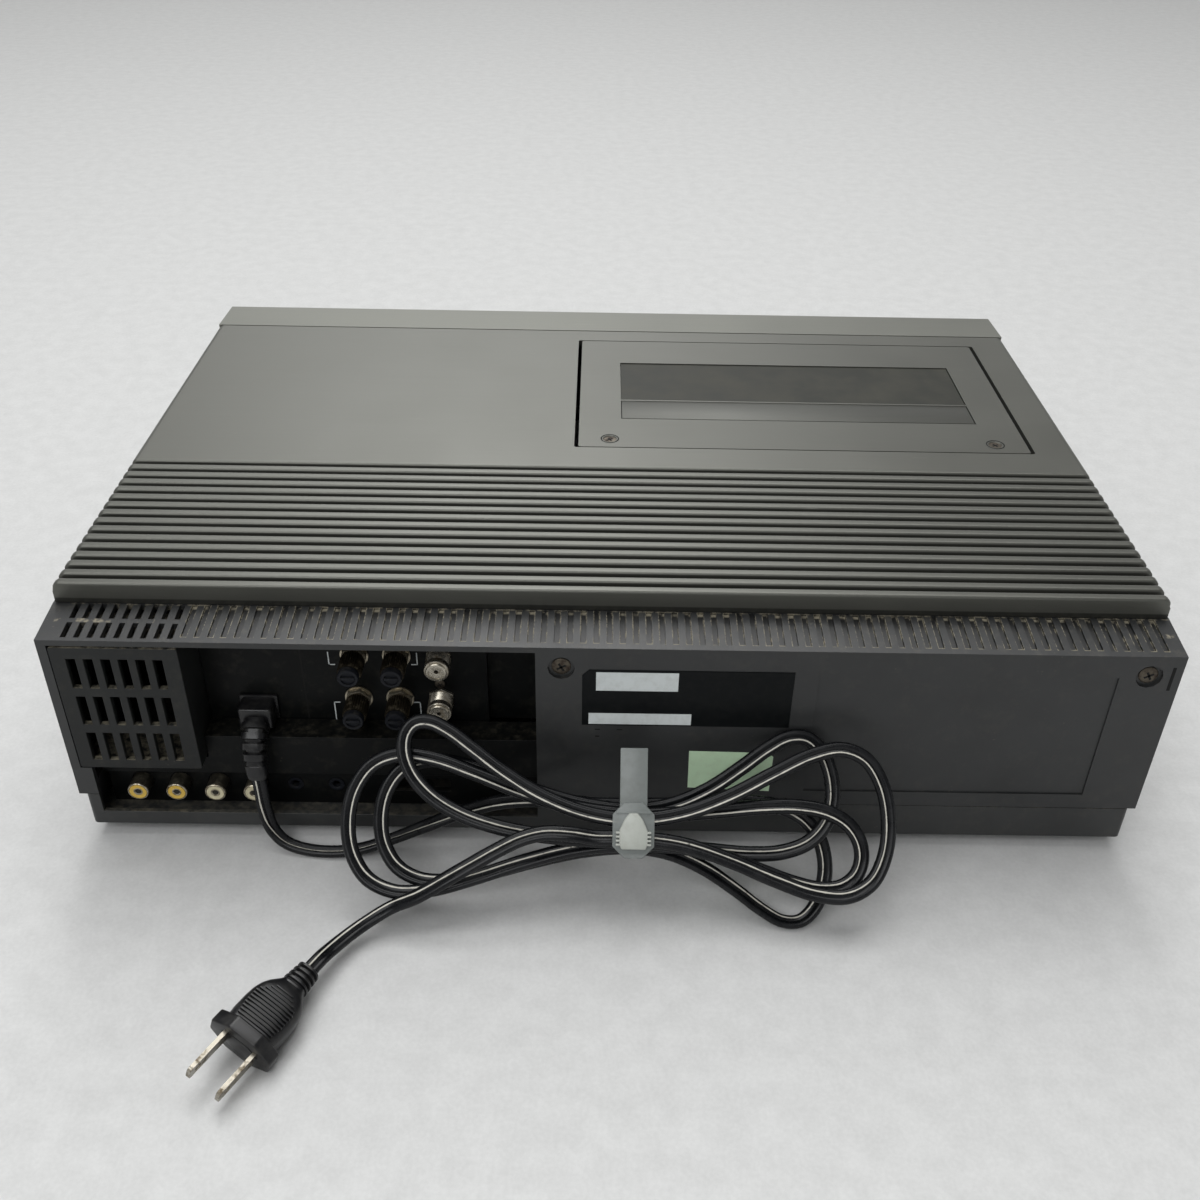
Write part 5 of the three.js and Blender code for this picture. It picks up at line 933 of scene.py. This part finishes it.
def makeScrews():
    for name, (at, radius, kind) in screws.items():
        toward, body = (upWay, "lid_holder") if kind == "sunk" else (rearWay, "root")
        head = spun([(share * radius, along) for share, along in screwHeads[kind]], at, toward, 28)
        top, arms = screwHeads[kind][-1][1], []
        corner = Vector((cross["length"], cross["width"], 0)) * radius
        low, high = upWay * (top - cross["sunk"]) - corner, upWay * (top + cross["proud"]) + corner
        for turn in (cross["turn"], cross["turn"] + math.pi / 2):
            arms.append(moved(boxed(low, high), stood(at, toward, turn)))
        # the cross is a dark shape of painted shade, drawn a little proud of the head
        shape = together(marked(head, 0), marked(together(*arms), 1))
        newPiece(name, shape, "screwMetal recess", body)
        # a ring of painted shade for the shade in the countersunk hole
        if kind == "sunk":
            newPiece(name + "_ring", spun(countersink, at, toward, 40), "recess", body)


makeTerminals()
makeAerials()
makeJacks()
makeScrews()
print("connectors and screws made")

# Plates and marks on the rear, all left blank; (x, z) in millimetres

plates = {  # outline, face, thickness, broken edge, finish, slot
    "name_plate": (
        [(11.3, 63.5), (-69.5, 63.5), (-69.5, 90.5), (8.6, 90.5), (11.3, 87.8)],
        160, 0.35, 0.08, "plateGloss", "smoked_pane"),
    "blank_strip_upper": (
        [(6, 80.8), (-25.4, 80.8), (-25.4, 89.6), (6, 89.6)],
        160.35, 0.1, 0, "paperWhite", "white_plastic"),
    "blank_strip_lower": (
        [(8.7, 64.2), (-31.2, 64.2), (-31.2, 69.6), (8.7, 69.6)],
        160.35, 0.1, 0, "paperWhite", "white_plastic"),
    "green_sticker": (
        [(-31.8, 31), (-64.9, 29.6), (-65, 48), (-63, 50), (-31.4, 50.5)],
        160, 0.12, 0, "stickerGreen", "white_plastic"),
}
brackets = {  # beside the terminals
    "half": 0.22, "face": 140.0, "depth": 0.06, "lines": [
        [(112.2, 81.7), (112.2, 75.7), (110.0, 75.7)], [(77.1, 81.9), (77.1, 76.2), (79.3, 76.2)],
        [(109.9, 56.4), (112.1, 56.4), (112.1, 46.4), (109.9, 46.4)],
        [(79.5, 56.9), (77.2, 56.9), (77.2, 46.9), (79.4, 46.9)]],
}
nicks = {  # the slot beside the right case screw and the nicks under the name plate, drawn as dark boxes of painted shade
    "plate_slot": ((-213, 84.5), (-211.7, 95.5)), "plate_nick_1": ((4.2, 60.8), (6.2, 61.3)),
    "plate_nick_2": ((-4.6, 60.8), (-2.4, 61.2)), "plate_nick_3": ((4.3, 57.2), (6.0, 57.8)),
}
nickSpan = (159.6, 160.05)
panelSeam = ((122.9, 139.6, 47.6), (123.6, 140.05, 97))
rearFacing = Matrix(((-1, 0, 0, 0), (0, 0, 1, 0), (0, 1, 0, 0), (0, 0, 0, 1)))  # x to -x, y to z, z to y


def makePlates():
    for name, (points, face, thick, edge, paint, slot) in plates.items():
        plate = prism([(-x, z) for x, z in points], (0, thick), edge)
        moved(plate, Matrix.Translation(rearWay * face * mm) @ rearFacing)
        newPiece(name, plate, paint, "root")
    strokes, half, face = [], brackets["half"], brackets["face"]
    for line in brackets["lines"]:
        for (x0, z0), (x1, z1) in zip(line, line[1:]):
            low = (min(x0, x1) - half, face, min(z0, z1) - half)
            strokes.append(boxed(low, (max(x0, x1) + half, face + brackets["depth"], max(z0, z1) + half)))
    newPiece("terminal_brackets", together(*strokes), "paperWhite", "root")
    # the panel seam is a dark strip of painted shade for its groove
    newPiece("panel_seam", boxed(*panelSeam), "recess", "root")
    for name, ((x0, z0), (x1, z1)) in nicks.items():
        nick = boxed((x0, nickSpan[0], z0), (x1, nickSpan[1], z1), 0.02, 1)
        newPiece(name, nick, "recess", "root")


lidStrip = {"x": (-175.4, -4.2), "y": (-29.2, -8.7), "sink": 111.22, "bed": 111.26, "top": 111.8, "gap": 0.8}


def makeLidStrip():  # the narrow strip behind the lid's window, on a dark bed of painted shade that shows in the gaps around it
    (x0, x1), (y0, y1), gap = lidStrip["x"], lidStrip["y"], lidStrip["gap"]
    bed = boxed((x0, y0, lidStrip["sink"]), (x1, y1, lidStrip["bed"]))
    newPiece("lid_strip_bed", bed, "recess", "lid_holder")
    strip = boxed((x0 + gap, y0 + 0.1, lidStrip["bed"]), (x1 - gap, y1 - gap, lidStrip["top"]), 0.15)
    newPiece("lid_strip", strip, "stripGunmetal", "lid_holder")


tongue = {"x": (212, 213.4), "y": (-143.5, 157.3), "z": (22.3, 25.5)}


def makeTongues():  # the tray's rim stands up inside the shell, so that no light shows through the seam; it is finished in the near-black of painted shade
    (y0, y1), (z0, z1) = tongue["y"], tongue["z"]
    sides = []
    for side in (1, -1):
        x0, x1 = sorted(side * x for x in tongue["x"])
        sides.append(boxed((x0, y0, z0), (x1, y1, z1), 0.2))
    newPiece("tray_tongues", together(*sides), "recess", "root")


makePlates()
makeLidStrip()
makeTongues()
print("plates made")

# CAD pieces that stay, with their finishes

nodeFinishes = {  # the words in the names of a finish's nodes; what none fits is charcoal
    "trayPlastic": "bottom_tray", "pane": "display_window lid_window",
    "blackPlastic": "tracking_knob antenna_panel jack_panel", "rollerRubberPlastic": "pinch_roller",
    "zincMetal": "cassette_holder deck_chassis pinch_arm tuner_box lift", "whitePlastic": "reel",
    "alloyMetal": "drum_lower drum_upper capstan supply_guide takeup_guide sound_control_head erase_head",
    "ironMetal": "loading_motor power_transformer", "boardPlastic": "main_board",
    "jackPlastic": "phono_jack_block", "lipGunmetal": "control_door", "plugVinyl": "strain_relief plug_body",
    "tieWhite": "cord_tie", "brassMetal": "plug_blade", "nickelMetal": "antenna_terminal",
    "footRubberPlastic": "foot", "buttonPlastic": "button", "grillePlastic": "grille",
}
for node, piece in frame["nodes"].items():
    fits = (finish for finish, words in nodeFinishes.items() if any(word in node for word in words.split()))
    piece.data.materials.clear()
    piece.data.materials.append(paints[next(fits, "charcoalPlastic")])

softEdges = {  # finish, width in millimetres
    "top_cover": ("coverGunmetal", 0.5), "cassette_lid": ("lidGunmetal", 0.3),
    "front_bezel": ("lipGunmetal", 0.4), "control_door": ("lipGunmetal", 0.3),
    "cabinet_shell": ("charcoalPlastic", 0.3), "rear_vent_grille": ("grillePlastic", 0.35),
    "bottom_tray": ("trayPlastic", 0.3), "antenna_panel": ("blackPlastic", 0.3),
    "jack_panel": ("blackPlastic", 0.3),
}
for node, (paint, width) in softEdges.items():
    softened(node, paint, width)
for node in frame["nodes"]:
    if node.endswith("_button"):
        softened(node, "buttonPlastic", 0.35, 3)
    elif node.startswith("foot_"):
        softened(node, "footRubberPlastic", 0.5)
print("cabinet made")

# Table and light

table = {"reach": 6, "colour": (0.6, 0.602, 0.597), "mottle": 0.012, "grain": 0.0016, "rough": 0.7}
room = {  # strengths in front, behind and at the horizon, and where they change
    "colour": (0.9, 0.905, 0.9), "ahead": 0.26, "behind": 0.2, "turn": (-0.2, 0.9), "horizon": 0.5,
    "skyline": (0.02, 0.36),
}
glow = {  # a soft light in front of the recorder, which its cover mirrors
    "middle": 0.1, "core": 0.05, "reach": 0.42, "strength": 5.4, "rise": (0.3, 0.62), "fall": (0.97, 0.85),
    "front": (-0.3, -0.1),
}
lamps = {  # place, aim, size, power, tint
    "ceiling": ((0.1, -0.4, 2.2), (0, 0, 0), (2.4, 1.6), 33, (1, 1, 1)),
    "window": ((0.7, 1.7, 1.9), (0, 0.1, 0.05), (2, 1.2), 24, (0.98, 0.99, 1)),
}


def makeTable():
    shape = bmesh.new()
    bmesh.ops.create_grid(shape, x_segments=1, y_segments=1, size=table["reach"])
    mesh = meshOf("table", shape)
    paint = Paint("tableTop")
    mottled = ranged(paint, noise(paint, table["mottle"], 5, 0.65), 0.35, 0.65) * 0.6
    mottled = mottled + ranged(paint, noise(paint, table["grain"], 3), 0.35, 0.65) * 0.4
    tone = blended(paint, mottled, tinted(table["colour"], 0.93), tinted(table["colour"], 1.07))
    mesh.materials.append(shaded(paint, Base_Color=tone, Roughness=table["rough"]))
    linked("table", mesh)


def makeRoom():
    paint = Paint("room", bpy.data.worlds)
    bpy.context.scene.world = paint.material
    toward = paint.node("ShaderNodeTexCoord", output="Generated")
    x, y, z = (axis(paint, toward, letter) for letter in "XYZ")
    across = x.math("DIVIDE", x, y.math("MAXIMUM", y * -1, 0.05))
    off = abs(across - glow["middle"])
    bright = ranged(paint, off, glow["core"], glow["reach"], glow["strength"], 0, "SMOOTHSTEP")
    for low, high in (glow["rise"], glow["fall"]):
        bright = bright * ranged(paint, z, low, high, 0, 1, "SMOOTHSTEP")
    bright = bright * ranged(paint, y, *glow["front"], 1, 0)
    even = ranged(paint, y, *room["turn"], room["ahead"], room["behind"])
    even = even + ranged(paint, z, *room["skyline"], room["horizon"], 0)
    values = {"Color": opaque(room["colour"]), "Strength": even + bright}
    paint.node("ShaderNodeOutputWorld", {}, {"Surface": paint.node("ShaderNodeBackground", {}, values)})


def makeLamp(name, place, aim, size, power, tint):
    data = bpy.data.lights.new(name, "AREA")
    data.shape, data.size, data.size_y = "RECTANGLE", *size
    data.energy, data.color = power, tint
    lamp = linked(name, data)
    lamp.location = place
    lamp.rotation_euler = (Vector(aim) - Vector(place)).to_track_quat("-Z", "Y").to_euler()


makeTable()
makeRoom()
for name, values in lamps.items():
    makeLamp(name, *values)
bpy.context.scene.view_settings.view_transform = "Standard"
print("table and light made")
